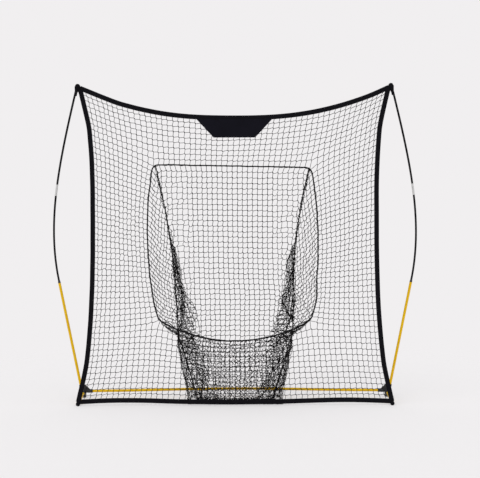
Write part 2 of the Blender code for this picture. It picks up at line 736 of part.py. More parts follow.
def pocket(mat, cord_mat):
    """Net bag behind the mouth: closed below it, open through it, with a cord down each seam.

    Every square of its skin keeps half a strand along its edges, and the rest of it is open.
    """
    bm = bmesh.new()
    rows = pocket_rows()
    ring = len(rows[0])
    points = []
    for level, row in enumerate(rows):
        open_front = level > POCKET_LOW_ROWS
        points.append([None if open_front and 0 < k < POCKET_FRONT else bm.verts.new(p)
                       for k, p in enumerate(row)])
    for level, (near, far) in enumerate(zip(points, points[1:])):
        for k in range(ring):
            after = (k + 1) % ring
            if level >= POCKET_LOW_ROWS and k < POCKET_FRONT:
                continue
            bm.faces.new((near[k], near[after], far[after], far[k]))
    pocket_floor(bm, points[0])
    squares = bm.faces[:]
    bmesh.ops.recalc_face_normals(bm, faces=squares)
    bmesh.ops.inset_individual(bm, faces=squares, thickness=STRAND / 2, use_even_offset=True)
    bmesh.ops.delete(bm, geom=squares, context="FACES_ONLY")
    body = place("pocket", bm, mat, smooth=False, facing=True)
    shell = body.modifiers.new("wall", "SOLIDIFY")
    shell.thickness = POCKET_WALL
    shell.offset = -1
    shell.use_even_offset = True
    corners = {1: POCKET_FRONT + POCKET_SIDE, -1: POCKET_FRONT + POCKET_SIDE + POCKET_FRONT}
    for s, k in corners.items():
        away = Vector((s, 1, 0)).normalized() * (SEAM_CORD_RADIUS + 2 * GAP)
        path = [row[k] + away for row in rows]
        tag = "left" if s < 0 else "right"
        sweep(f"seam_cord_{tag}", path, [ring_outline(SEAM_CORD_RADIUS, 6)], cord_mat)


# ---------------------------------------------------------------- base
def crossbar(mat, joiner_mat, rivet_mat):
    seat = HUB_HALF - CROSS_SEAT - GAP
    mouth = HUB_HALF - CROSS_SOCKET
    for s, tag in ((-1, "left"), (1, "right")):
        stations = [s * GAP / 2] + [s * x for x in spread(0, mouth, CAMBER_STEPS)[1:]] + [s * seat]
        bar = tube(f"crossbar_{tag}", [crossbar_point(x) for x in stations],
                   TUBE_RADIUS, TUBE_BORE, mat)
        hole = drill(f"guide_bar_hole_{tag}", crossbar_point(s * BUTTON_OUT), BACK,
                     (BUTTON_RADIUS if s > 0 else RIVET_RADIUS) + PLAY, 2 * TUBE_RADIUS)
        grip = drill(f"guide_grip_hole_{tag}", crossbar_point(s * grip_station()), -UP,
                     RIVET_RADIUS + PLAY, 2 * TUBE_RADIUS)
        cut(bar, hole, grip)
    outer = TUBE_BORE - PLAY
    inner = outer - TUBE_WALL
    path = [crossbar_point(x) for x in spread(-JOINER_HALF, JOINER_HALF, 2)]
    joiner = tube("crossbar_joiner", path, outer, inner, joiner_mat)
    for s, radius in ((-1, RIVET_RADIUS), (1, BUTTON_RADIUS)):
        cut(joiner, drill(f"guide_joiner_hole_{s}", crossbar_point(s * BUTTON_OUT), BACK,
                          radius + PLAY, 2 * TUBE_RADIUS))
    rivet("joiner_rivet", crossbar_point(-BUTTON_OUT), BACK, TUBE_RADIUS, inner, rivet_mat)


def grip_station():
    """Middle of the crossbar's hold in its socket, where a rivet keeps it."""
    return HUB_HALF - (CROSS_SOCKET + CROSS_SEAT) / 2


def drill(name, start, direction, radius, length, sides=ROUND):
    """Straight cutter that starts on a tube's axis."""
    return lathe(name, [(0, 0), (radius, 0), (radius, length), (0, length)], None, start,
                 direction, sides)


def rivet(name, centre, direction, outer, inner, mat):
    """Round-headed rivet through walls that lie between two radii from a tube's axis."""
    grip = inner - 2 * RIVET_RADIUS
    seat = outer + GAP
    head = [(RIVET_HEAD * math.cos(a), seat + RIVET_RISE * math.sin(a))
            for a in (math.radians(90 * k / 4) for k in range(4))]
    profile = [(0, grip), (RIVET_RADIUS, grip), (RIVET_RADIUS, seat)] + head
    profile.append((0, seat + RIVET_RISE))
    return lathe(name, profile, mat, centre, direction, SMALL)


def hub(s, mat):
    """Moulded corner: sockets for crossbar and upright, a ribbed gusset, and the leg's fork."""
    tag = "left" if s < 0 else "right"
    centre = crossing(s)
    inboard = Vector((-s, 0, 0))
    up = upright_axis(s)
    body = lathe(f"hub_{tag}", collar_profile(-COLLAR_RADIUS / 2, CROSS_SOCKET), mat, centre,
                 inboard, FINE)
    post = lathe(f"guide_post_{tag}", collar_profile(-COLLAR_RADIUS / 2, UPRIGHT_SOCKET), mat,
                 centre, up, FINE)
    boss = lathe(f"guide_boss_{tag}", dome(HUB_BOSS, 0, BOSS_STEPS, 90, -90), mat, centre, BACK, FINE)
    flat = Matrix(((-s, 0, 0), (0, 0, s), (0, 1, 0)))
    rise = UPRIGHT_SOCKET * up.z
    lean = UPRIGHT_SOCKET * abs(up.x)
    outline = [(0, 0), (GUSSET_RUN, COLLAR_RADIUS / 3), (GUSSET_FLAT, rise - 2 * EDGE),
               (-lean, rise - 2 * EDGE)]
    plate = prism(f"guide_plate_{tag}", outline, -GUSSET_THICK / 2, GUSSET_THICK / 2, mat, flat,
                  centre)
    add(body, post, boss, plate, *fork(s, tag, mat))
    cut(body, *gusset_pockets(tag, rise, mat, flat, centre))
    cut(body,
        drill(f"guide_cross_bore_{tag}", centre + inboard * CROSS_SEAT, inboard, SOCKET_BORE,
              CROSS_SOCKET, FINE),
        drill(f"guide_upright_bore_{tag}", centre + up * UPRIGHT_SEAT, up, SOCKET_BORE,
              2 * UPRIGHT_SOCKET, FINE),
        drill(f"guide_button_bore_{tag}", centre + up * BUTTON_UP, button_way(s),
              BUTTON_RADIUS + PLAY, 2 * COLLAR_RADIUS),
        drill(f"guide_rivet_bore_{tag}", crossbar_point(s * grip_station()), -UP,
              RIVET_RADIUS + PLAY, 2 * COLLAR_RADIUS),
        drill(f"guide_pivot_bore_{tag}", Vector((pivot(s).x, pivot(s).y, -GAP)), UP,
              BOLT_RADIUS + PLAY, 2 * PIVOT_HEIGHT))
    return body


def collar_profile(low, high):
    """A collar with an eased mouth and a closed foot."""
    return [(0, low), (COLLAR_RADIUS, low), (COLLAR_RADIUS, high - 2 * EDGE),
            (COLLAR_RADIUS - EDGE, high), (0, high)]


def gusset_pockets(tag, rise, mat, flat, centre):
    """Hollows on both faces of the gusset that leave a thin web inside a rim."""
    start = COLLAR_RADIUS + GUSSET_RIM / 2
    outline = [(start, start), (GUSSET_RUN - 3 * GUSSET_RIM, start),
               (GUSSET_FLAT - GUSSET_RIM, rise - 2 * GUSSET_RIM), (start / 2, rise - 2 * GUSSET_RIM)]
    return [prism(f"guide_pocket_{tag}_{face}", outline, min(near, far), max(near, far), mat, flat,
                  centre)
            for face, near, far in (("front", GUSSET_WEB / 2, GUSSET_THICK),
                                    ("back", -GUSSET_WEB / 2, -GUSSET_THICK))]


def fork(s, tag, mat):
    """Foot block on the ground, and the two ears that hold the leg's eye."""
    point = pivot(s)
    half = EYE_HEIGHT / 2 + GAP
    length = PIVOT_FORWARD + COLLAR_WALL / 2
    outline = slot_outline(EAR_RADIUS, length, SMALL)
    spans = {"upper": (point.z + half, point.z + half + EAR_THICK),
             "lower": (point.z - half - EAR_THICK, point.z - half)}
    ears = [prism(f"guide_ear_{key}_{tag}", outline, low, high, mat,
                  origin=Vector((point.x, point.y, 0)))
            for key, (low, high) in spans.items()]
    w = FOOT_WIDTH / 2
    front = -PIVOT_FORWARD + EYE_RADIUS + 4 * GAP + PLAY
    rear = COLLAR_RADIUS + COLLAR_WALL / 2
    block = prism(f"guide_foot_{tag}", [(-w, front), (w, front), (w, rear), (-w, rear)],
                  0, CROSSBAR_HEIGHT - COLLAR_WALL, mat, origin=Vector((point.x, CROSSBAR_Y, 0)))
    return [*ears, block]


def button_way(s):
    """Direction in which an upright's button stands out: to the rear, square to the tube."""
    up = upright_axis(s)
    return (BACK - BACK.dot(up) * up).normalized()


def snap_button(name, centre, way, along, bore, reach, mat):
    """Domed button on a spring leaf inside a tube. reach is its dome's height from the axis."""
    flange = math.sqrt(bore ** 2 - BUTTON_FLANGE ** 2) - PLAY
    foot = flange - LEAF_THICK
    crown = [(r, reach - BUTTON_RADIUS / 2 + h / 2)
             for r, h in dome(BUTTON_RADIUS, 0, DOME_STEPS - 1, 0, 90)]
    profile = [(0, foot), (BUTTON_FLANGE, foot), (BUTTON_FLANGE, flange), (BUTTON_RADIUS, flange)]
    button = lathe(name, profile + crown, mat, centre, way, SMALL)
    w = LEAF_WIDTH / 2
    outline = [(-w, -w), (w, -w), (w, LEAF_LENGTH), (-w, LEAF_LENGTH)]
    leaf = prism(f"guide_leaf_{name}", outline, foot - LEAF_THICK, foot + LEAF_THICK / 2, mat,
                 aimed(way, along), centre)
    add(button, leaf)


def leg(s, steel, plastic, bolt_mat):
    tag = "left" if s < 0 else "right"
    point, tip = pivot(s), leg_tip(s)
    ahead = (tip - point).normalized()
    length = (tip - point).length
    start = EYE_RADIUS + 2 * GAP + TUBE_RADIUS * abs(ahead.z)
    end = length - TUBE_RADIUS / 2
    tube(f"leg_{tag}", [point + ahead * start, point + ahead * end], TUBE_RADIUS, TUBE_BORE,
         steel, side=UP)
    plug = TUBE_BORE - PLAY
    h = EYE_HEIGHT / 2
    eye = lathe(f"leg_knuckle_{tag}", [(0, -h), (EYE_RADIUS - EDGE, -h), (EYE_RADIUS, -h + EDGE),
                                       (EYE_RADIUS, h - EDGE), (EYE_RADIUS - EDGE, h), (0, h)],
                plastic, point, UP, FINE)
    stem = lathe(f"guide_stem_{tag}", [(0, 0), (plug, 0), (plug, start + PLUG_LENGTH - EDGE),
                                       (plug - EDGE, start + PLUG_LENGTH),
                                       (0, start + PLUG_LENGTH)], plastic, point, ahead)
    hole = drill(f"guide_eye_{tag}", point - UP * EYE_HEIGHT, UP, BOLT_RADIUS + PLAY,
                 2 * EYE_HEIGHT)
    add(eye, stem)
    cut(eye, hole)
    back = end - length - PLUG_LENGTH
    lip = end - length + GAP
    profile = [(0, back), (plug - EDGE, back), (plug, back + EDGE), (plug, lip), (CAP_RADIUS, lip)]
    lathe(f"leg_cap_{tag}", profile + dome(CAP_RADIUS, 0, DOME_STEPS, 0, 90), plastic, tip, ahead)
    pivot_bolt(tag, point, bolt_mat)


def pivot_bolt(tag, point, mat):
    """Round-headed bolt down through ears and eye, with a nut under the lower ear."""
    half = EYE_HEIGHT / 2 + GAP + EAR_THICK
    seat = half + GAP
    rim = seat + BOLT_HEAD_RIM
    crown = [(BOLT_HEAD_RADIUS * math.cos(a), rim + (BOLT_HEAD_RISE - BOLT_HEAD_RIM) * math.sin(a))
             for a in (math.radians(90 * k / 4) for k in range(4))]
    tail = -half - NUT_HEIGHT - 2 * GAP
    profile = [(0, tail), (BOLT_RADIUS, tail), (BOLT_RADIUS, seat), (BOLT_HEAD_RADIUS, seat)]
    lathe(f"pivot_bolt_{tag}", profile + crown + [(0, seat + BOLT_HEAD_RISE)], mat, point, UP)
    top = -half - GAP
    nut = prism(f"pivot_nut_{tag}", ring_outline(NUT_RADIUS, HEX), top - NUT_HEIGHT, top, mat,
                origin=point)
    cut(nut, drill(f"guide_nut_bore_{tag}", point - UP * 2 * half, UP, BOLT_RADIUS + PLAY,
                   2 * half))


# ---------------------------------------------------------------- uprights and bows
def upright(s, steel, plastic):
    tag = "left" if s < 0 else "right"
    centre, up = crossing(s), upright_axis(s)
    ends = [centre + up * (UPRIGHT_SEAT + GAP), centre + up * UPRIGHT_LENGTH]
    pole = tube(f"upright_{tag}", ends, TUBE_RADIUS, TUBE_BORE, steel)
    cut(pole, drill(f"guide_pole_hole_{tag}", centre + up * BUTTON_UP, button_way(s),
                    BUTTON_RADIUS + PLAY, 2 * TUBE_RADIUS))
    plug = TUBE_BORE - PLAY
    bore = ROD_RADIUS + PLAY
    lip = bore + 3 * EDGE
    profile = [(0, -PLUG_LENGTH), (plug - EDGE, -PLUG_LENGTH), (plug, -PLUG_LENGTH + EDGE),
               (plug, GAP), (TUBE_RADIUS, GAP), (TUBE_RADIUS, REDUCER_TAPER / 4),
               (lip, REDUCER_TAPER), (bore, REDUCER_TAPER), (bore, -ROD_SEAT - GAP),
               (0, -ROD_SEAT - GAP)]
    lathe(f"reducer_{tag}", profile, plastic, ends[1], up)


def bow_path(s, low, high, steps):
    return [bow(s, h) for h in spread(low, high, steps)]


def bow_rods(s, fibre, metal, plastic):
    tag = "left" if s < 0 else "right"
    middle = FERRULE_RISE
    half = FERRULE_LENGTH / 2
    seat = -(REDUCER_TAPER + ROD_SEAT) * upright_axis(s).z
    lower = [bow(s, seat)] + bow_path(s, 0, middle - GAP, SMALL)
    rod(f"rod_lower_{tag}", lower, ROD_RADIUS, fibre)
    rod(f"rod_upper_{tag}", bow_path(s, middle + GAP, bow_height(), SMALL), ROD_RADIUS, fibre)
    bore = ROD_RADIUS + PLAY
    tube(f"ferrule_{tag}", bow_path(s, middle - half, middle + half, 4), bore + FERRULE_WALL,
         bore, metal, SMALL)
    top = bow(s, bow_height())
    along = (top - bow(s, bow_height() - GAP)).normalized()
    profile = dome(TIP_RADIUS, 0, DOME_STEPS) + [(TIP_RADIUS, -TIP_SKIRT), (bore, -TIP_SKIRT),
                                        (bore, GAP), (0, GAP)]
    lathe(f"rod_tip_{tag}", profile, plastic, top, along)


# ---------------------------------------------------------------- build
for old in list(bpy.data.objects):
    bpy.data.objects.remove(old, do_unlink=True)

YELLOW = material("yellow_steel", (0.66, 0.36, 0.008), 0.38, 0.0)
MOULDED = material("black_plastic", (0.012, 0.012, 0.013), 0.45)
FIBRE = material("black_fibreglass", (0.010, 0.010, 0.011), 0.35)
FERRULE = material("light_ferrule", (0.62, 0.62, 0.62), 0.35, 0.6)
ZINC = material("zinc", (0.55, 0.55, 0.53), 0.35, 1.0)
WEBBING = material("black_webbing", (0.010, 0.010, 0.013), 0.85)
NETTING = material("black_netting", (0.016, 0.015, 0.016), 0.8)
HEADER = material("header_fabric", (0.009, 0.009, 0.011), 0.75)
ROPE = material("mouth_rope", (0.010, 0.010, 0.011), 0.8)

crossbar(YELLOW, ZINC, ZINC)
CROSS_REACH = TUBE_RADIUS + BUTTON_PROUD
JOINER_BORE = TUBE_BORE - PLAY - TUBE_WALL
snap_button("crossbar_button", crossbar_point(BUTTON_OUT), BACK, Vector((1, 0, 0)), JOINER_BORE,
            CROSS_REACH, ZINC)
for SIDE, TAG in ((-1, "left"), (1, "right")):
    hub(SIDE, MOULDED)
    rivet(f"socket_rivet_{TAG}", crossbar_point(SIDE * grip_station()), -UP, COLLAR_RADIUS,
          TUBE_BORE, ZINC)
    leg(SIDE, YELLOW, MOULDED, ZINC)
    upright(SIDE, YELLOW, MOULDED)
    snap_button(f"upright_button_{TAG}", crossing(SIDE) + upright_axis(SIDE) * BUTTON_UP,
                button_way(SIDE), upright_axis(SIDE), TUBE_BORE, COLLAR_RADIUS + BUTTON_PROUD,
                ZINC)
    bow_rods(SIDE, FIBRE, FERRULE, MOULDED)

borders_and_corners(WEBBING, WEBBING)
header_panel(HEADER)
front_net(NETTING)
mouth_rope(ROPE)
pocket(NETTING, ROPE)
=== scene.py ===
"""Looks of a bow-frame target net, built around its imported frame.

A square of knotted netting with a deep catching pocket is strung between two folding legs and two
bent fibreglass rods, on a yellow steel base. Metres, +Z up; the thrower stands on the -Y side.
"""

import math

import bmesh
import bpy
import numpy as np
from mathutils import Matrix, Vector


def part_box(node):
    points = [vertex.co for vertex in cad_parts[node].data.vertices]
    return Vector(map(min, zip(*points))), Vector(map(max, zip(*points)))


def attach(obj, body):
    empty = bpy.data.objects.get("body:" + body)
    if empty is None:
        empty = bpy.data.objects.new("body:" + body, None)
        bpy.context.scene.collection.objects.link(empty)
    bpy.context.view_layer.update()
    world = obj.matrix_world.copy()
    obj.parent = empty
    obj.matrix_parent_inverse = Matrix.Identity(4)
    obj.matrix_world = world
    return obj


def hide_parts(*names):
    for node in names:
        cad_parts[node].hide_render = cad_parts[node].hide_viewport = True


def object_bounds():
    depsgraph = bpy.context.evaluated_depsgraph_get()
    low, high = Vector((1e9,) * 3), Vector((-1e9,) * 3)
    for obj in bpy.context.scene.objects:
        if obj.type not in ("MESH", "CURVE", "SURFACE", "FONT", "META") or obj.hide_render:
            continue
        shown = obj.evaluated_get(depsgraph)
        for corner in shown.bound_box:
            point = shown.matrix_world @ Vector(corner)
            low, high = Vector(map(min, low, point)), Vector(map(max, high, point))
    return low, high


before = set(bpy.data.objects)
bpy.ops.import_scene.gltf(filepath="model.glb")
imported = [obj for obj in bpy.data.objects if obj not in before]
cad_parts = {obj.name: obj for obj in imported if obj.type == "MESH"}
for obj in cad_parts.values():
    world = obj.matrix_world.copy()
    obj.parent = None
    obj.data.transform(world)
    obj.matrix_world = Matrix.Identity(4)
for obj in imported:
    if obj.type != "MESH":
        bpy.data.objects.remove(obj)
cad_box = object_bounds()

# ---- view, floor and light
# The net stands on a pale floor in a pale room and is seen square from the front, from a little
# above its middle. Two wide soft suns and an even room light it and its floor.
NET_Y = sum(corner.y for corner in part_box("net_upper")) / 2
VIEW_DISTANCE = 5.5
VIEW_HEIGHT = 1.131
VIEW_SIDE = 0.036
VIEW_ROLL = math.radians(0.17)
LENS = 60.8
SENSOR = 36
PALE = (0.879, 0.863, 0.871, 1)
ROOM_LIGHT = 0.70
FLOOR_COLOUR = (0.935, 0.918, 0.927, 1)
FLOOR_FADE = (1.5, 4.0)
FLOOR_GLOW = 0.5
FLOOR_RADIUS = 6.0
SUNS = {"key_sun": ((-0.5, -0.7, 0.9), 0.85, 50), "fill_sun": ((0.7, -0.7, 0.6), 0.35, 70)}
SUN_DISTANCE = 4


def feed(tree, socket, value):
    """Links an input to a socket or to a node's first output, or sets it to a plain value."""
    if isinstance(value, bpy.types.Node):
        value = value.outputs[0]
    if isinstance(value, bpy.types.NodeSocket):
        tree.links.new(value, socket)
    else:
        socket.default_value = value


def node(tree, kind, settings=None, **inputs):
    """A new node with its settings and inputs."""
    made = tree.nodes.new(kind)
    for key, value in (settings or {}).items():
        setattr(made, key, value)
    for key, value in inputs.items():
        feed(tree, made.inputs[key.replace("_", " ")], value)
    return made


def maths(tree, operation, *values):
    """A Math node on some values or sockets."""
    made = node(tree, "ShaderNodeMath", {"operation": operation})
    for socket, value in zip(made.inputs, values):
        feed(tree, socket, value)
    return made


def blended(tree, factor, first, second):
    """The first shader where the factor is 0, and the second where it is 1."""
    mixed = tree.nodes.new("ShaderNodeMixShader")
    for socket, value in zip(mixed.inputs, (factor, first, second)):
        feed(tree, socket, value)
    return mixed


def placed(name, data):
    """A new object at the origin, in the scene."""
    obj = bpy.data.objects.new(name, data)
    bpy.context.scene.collection.objects.link(obj)
    return obj


def aim(obj, place, target):
    obj.location = place
    obj.rotation_euler = (Vector(target) - Vector(place)).to_track_quat("-Z", "Y").to_euler()


camera = bpy.data.cameras.new("view")
camera.lens = LENS
camera.sensor_width = SENSOR
viewer = placed("view", camera)
aim(viewer, (VIEW_SIDE, NET_Y - VIEW_DISTANCE, VIEW_HEIGHT), (VIEW_SIDE, NET_Y, VIEW_HEIGHT))
viewer.rotation_euler.rotate_axis("Z", -VIEW_ROLL)
bpy.context.scene.camera = viewer
bpy.context.scene.view_settings.view_transform = "Standard"

world = bpy.data.worlds.new("room")
world.use_nodes = True
bpy.context.scene.world = world
tree = world.node_tree
tree.nodes.clear()
seen = node(tree, "ShaderNodeBackground", Color=PALE, Strength=1.0)
room = node(tree, "ShaderNodeBackground", Color=(1, 1, 1, 1), Strength=ROOM_LIGHT)
rays = node(tree, "ShaderNodeLightPath").outputs
shiny = maths(tree, "MAXIMUM", rays["Is Glossy Ray"], rays["Is Transmission Ray"])
direct = maths(tree, "MAXIMUM", rays["Is Camera Ray"], shiny)
node(tree, "ShaderNodeOutputWorld", Surface=blended(tree, direct, room, seen))
for name, (way, strength, spread) in SUNS.items():
    lamp = bpy.data.lights.new(name, "SUN")
    lamp.energy = strength
    lamp.angle = math.radians(spread)
    aim(placed(name, lamp), Vector(way) * SUN_DISTANCE, (0, 0, 0))

bm = bmesh.new()
bmesh.ops.create_circle(bm, cap_ends=True, segments=96, radius=FLOOR_RADIUS)
mesh = bpy.data.meshes.new("floor")
bm.to_mesh(mesh)
bm.free()
floor = placed("floor", mesh)
floor_finish = bpy.data.materials.new("pale_floor")
floor_finish.use_nodes = True
tree = floor_finish.node_tree
tree.nodes.clear()
where = node(tree, "ShaderNodeTexCoord")
away = node(tree, "ShaderNodeVectorMath", {"operation": "LENGTH"}, Vector=where.outputs["Object"])
fade = node(tree, "ShaderNodeMapRange", {"interpolation_type": "SMOOTHERSTEP"},
            Value=away.outputs["Value"], From_Min=FLOOR_FADE[0], From_Max=FLOOR_FADE[1])
matt = node(tree, "ShaderNodeBsdfDiffuse", Color=FLOOR_COLOUR)
glow = node(tree, "ShaderNodeEmission", Color=PALE, Strength=1.0)
rays = node(tree, "ShaderNodeLightPath").outputs
glowing = maths(tree, "MULTIPLY", rays["Is Camera Ray"], FLOOR_GLOW)
pale_matt = blended(tree, glowing, matt, glow)
gone = node(tree, "ShaderNodeBsdfTransparent")
node(tree, "ShaderNodeOutputMaterial", Surface=blended(tree, fade, pale_matt, gone))
mesh.materials.append(floor_finish)

# ---- yellow steel tube
# The base's crossbar and legs and the two uprights are thin round tube, cut to length, drilled for
# the snap buttons and powder coated a warm yellow.
YELLOW = (0.81, 0.500, 0.006)
YELLOW_DEEP = (0.74, 0.430, 0.003)
SHARP_CORNER = math.radians(34)
MERGE = 0.00001
CLOUD_SIZE = 9.0
ROUGH_SPREAD = 0.10
SIDES = {"left": -1, "right": 1}


def uneven_group():
    """Cloudy variation and fine grain over a surface, in the object's own coordinates."""
    group = bpy.data.node_groups.new("uneven_finish", "ShaderNodeTree")
    for key in ("Cloud Scale", "Grain Scale", "Grain Depth"):
        group.interface.new_socket(key, in_out="INPUT", socket_type="NodeSocketFloat")
    group.interface.new_socket("Cloud", in_out="OUTPUT", socket_type="NodeSocketFloat")
    group.interface.new_socket("Normal", in_out="OUTPUT", socket_type="NodeSocketVector")
    given = group.nodes.new("NodeGroupInput").outputs
    place = node(group, "ShaderNodeTexCoord").outputs["Object"]
    cloud = node(group, "ShaderNodeTexNoise", Vector=place, Scale=given["Cloud Scale"],
                 Detail=5.0, Roughness=0.6)
    grain = node(group, "ShaderNodeTexNoise", Vector=place, Scale=given["Grain Scale"],
                 Detail=3.0, Roughness=0.55)
    bump = node(group, "ShaderNodeBump", Height=grain.outputs["Fac"],
                Distance=given["Grain Depth"], Strength=1.0)
    node(group, "NodeGroupOutput", Cloud=cloud.outputs["Fac"], Normal=bump.outputs["Normal"])
    return group


UNEVEN = uneven_group()


def uneven_finish(name, cloud_scale, grain_scale, grain_depth, **settings):
    """A new material: its tree, its shader's inputs, and the outputs of its uneven group."""
    finish = bpy.data.materials.new(name)
    finish.use_nodes = True
    tree = finish.node_tree
    inputs = tree.nodes["Principled BSDF"].inputs
    for key, value in settings.items():
        inputs[key.replace("_", " ")].default_value = value
    uneven = node(tree, "ShaderNodeGroup", {"node_tree": UNEVEN}, Cloud_Scale=cloud_scale,
                  Grain_Scale=grain_scale, Grain_Depth=grain_depth)
    return finish, tree, inputs, uneven.outputs


def between(tree, factor, low, high, first, second):
    """A colour that goes from the first to the second as the factor goes from low to high."""
    share = node(tree, "ShaderNodeMapRange", Value=factor, From_Min=low, From_Max=high)
    mix = node(tree, "ShaderNodeMix", {"data_type": "RGBA"})
    feed(tree, mix.inputs[0], share)
    mix.inputs[6].default_value = (*first, 1)
    mix.inputs[7].default_value = (*second, 1)
    return mix.outputs[2]


def solid_finish(name, light, dark, roughness, grain_scale, grain_depth, metallic=0.0,
                 cloud_scale=CLOUD_SIZE, coat=0.0, gloss=0.5):
    """Paint, moulding or metal: a slightly cloudy colour and sheen, and a fine grain."""
    finish, tree, inputs, uneven = uneven_finish(
        name, cloud_scale, grain_scale, grain_depth, Metallic=metallic, Coat_Weight=coat,
        Specular_IOR_Level=gloss)
    rough = node(tree, "ShaderNodeMapRange", Value=uneven["Cloud"], From_Min=0.25, From_Max=0.75,
                 To_Min=roughness - ROUGH_SPREAD, To_Max=roughness + ROUGH_SPREAD)
    feed(tree, inputs["Base Color"], between(tree, uneven["Cloud"], 0.3, 0.7, light, dark))
    feed(tree, inputs["Roughness"], rough)
    feed(tree, inputs["Normal"], uneven["Normal"])
    return finish


def geometry_tree(name, **sockets):
    """A geometry tree with one geometry going through it and named inputs."""
    made = bpy.data.node_groups.new(name, "GeometryNodeTree")
    made.interface.new_socket("Geometry", in_out="INPUT", socket_type="NodeSocketGeometry")
    for key, kind in sockets.items():
        made.interface.new_socket(key.replace("_", " "), in_out="INPUT",
                                  socket_type="NodeSocket" + kind)
    made.interface.new_socket("Geometry", in_out="OUTPUT", socket_type="NodeSocketGeometry")
    return made, made.nodes.new("NodeGroupInput").outputs


def softened_tree():
    """Joins a node's loose triangles and shades it smooth but for its real edges."""
    made, given = geometry_tree("softened", Corner="Float")
    joined = node(made, "GeometryNodeMergeByDistance", Geometry=given["Geometry"], Distance=MERGE)
    round_all = node(made, "GeometryNodeSetShadeSmooth", Geometry=joined,
                     Shade_Smooth=True)
    angle = node(made, "GeometryNodeInputMeshEdgeAngle")
    sharp = node(made, "FunctionNodeCompare", A=angle, B=given["Corner"])
    edges = node(made, "GeometryNodeSetShadeSmooth", {"domain": "EDGE"},
                 Geometry=round_all, Selection=sharp, Shade_Smooth=False)
    node(made, "NodeGroupOutput", Geometry=edges)
    return made


SOFTENED = softened_tree()


def set_sizes(modifier, **sizes):
    for item in modifier.node_group.interface.items_tree:
        key = item.name.replace(" ", "_")
        if item.in_out == "INPUT" and key in sizes:
            modifier[item.identifier] = sizes[key]


def pairs(*names):
    return [f"{name}_{tag}" for name in names for tag in SIDES]


def dress(finish, *names):
    """Gives CAD nodes their material and smooth shading."""
    for name in names:
        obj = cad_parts[name]
        obj.data.materials.clear()
        obj.data.materials.append(finish)
        soft = obj.modifiers.new("softened", "NODES")
        soft.node_group = SOFTENED
        set_sizes(soft, Corner=SHARP_CORNER)


yellow_paint = solid_finish("yellow_powder_coat", YELLOW, YELLOW_DEEP, 0.36, 1300.0, 0.00003,
                            coat=0.03, gloss=0.12)
dress(yellow_paint, *pairs("crossbar", "leg", "upright"))

# ---- black mouldings
# Corner hubs with their sockets and forks, the legs' knuckles and end caps, the reducers that
# plug into the uprights, and the rods' end caps are moulded in one black nylon.
black_nylon = solid_finish("black_nylon", (0.009, 0.009, 0.010), (0.005, 0.005, 0.006), 0.42,
                           1500.0, 0.00008)
dress(black_nylon, *pairs("hub", "leg_knuckle", "leg_cap", "reducer", "rod_tip"))

# ---- bolts, rivets and buttons
# Zinc-plated steel: the pivot bolts and nuts, the rivets, the joiner sleeve inside the crossbar
# and the snap buttons on their spring leaves.
zinc_plate = solid_finish("zinc_plate", (0.58, 0.58, 0.55), (0.44, 0.44, 0.43), 0.34, 700.0,
                          0.00002, metallic=1.0, cloud_scale=60.0)
dress(zinc_plate, "crossbar_joiner", "crossbar_button", "joiner_rivet",
      *pairs("socket_rivet", "pivot_bolt", "pivot_nut", "upright_button"))

# ---- fibreglass bows and ferrules
# Each bow is two black pultruded rods in a pale metal ferrule, crimped near both its ends. They
# are drawn again here from the frame's own stations as smooth round bars.
ROD_SIDES = 24
ROD_STATIONS = 72
ROD_RADIUS = 0.0071
ROD_RING = 0.016
FERRULE_RADIUS = 0.0080
FERRULE_STATIONS = 25
CRIMPS = (3, 4, 20, 21)
CRIMP_DEPTH = 0.05


def corners_of(name):
    """The separate corner points of a CAD node."""
    points = np.array([v.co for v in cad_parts[name].data.vertices])
    return np.unique(points.round(6), axis=0)


def line_of(name, reach, order=lambda middle: middle[2]):
    """Middles of the rings of points that a swept node was built from, in order."""
    rest = corners_of(name)
    middles = []
    while len(rest):
        near = np.linalg.norm(rest - rest[0], axis=1) < reach
        middles.append(rest[near].mean(axis=0))
        rest = rest[~near]
    return np.array(sorted(middles, key=order))


def distances(line):
    """How far along a line each of its points lies."""
    return np.concatenate([[0], np.cumsum(np.linalg.norm(np.diff(line, axis=0), axis=1))])


def evenly(line, count):
    """The line again, as count points an equal way apart."""
    run = distances(line)
    at = np.linspace(0, run[-1], count)
    return np.column_stack([np.interp(at, run, line[:, k]) for k in range(line.shape[1])])


def smooth_line(points, count, closed=False):
    """Evenly spaced points along the smooth curve through some points."""
    points = np.asarray(points, float)
    if closed:
        points = np.vstack([points[-1:], points, points[:2]])
    else:
        points = np.vstack([2 * points[0] - points[1], points, 2 * points[-1] - points[-2]])
    gaps = np.linalg.norm(np.diff(points, axis=0), axis=1)
    share = np.linspace(0, 1, 16, endpoint=False)[:, None]
    fine = []
    for k in range(1, len(points) - 2):
        before, start, end, after = points[k - 1:k + 3]
        leave = (end - before) / (gaps[k] + gaps[k - 1]) * gaps[k]
        arrive = (after - start) / (gaps[k + 1] + gaps[k]) * gaps[k]
        fine.append((2 * share**3 - 3 * share**2 + 1) * start + (share**3 - 2 * share**2 + share)
                    * leave + (3 * share**2 - 2 * share**3) * end + (share**3 - share**2) * arrive)
    return evenly(np.vstack([*fine, points[-2][None]]), count)


def frames_along(line, closed=False):
    """Side and upward directions at each point, square to the line. The side is roughly +Y."""
    if closed:
        ahead = np.roll(line, -1, axis=0) - np.roll(line, 1, axis=0)
    else:
        ahead = np.gradient(line, axis=0)
    ahead /= np.linalg.norm(ahead, axis=1)[:, None]
    up = np.cross(ahead, (0, 1, 0))
    up /= np.linalg.norm(up, axis=1)[:, None]
    return np.cross(up, ahead), up


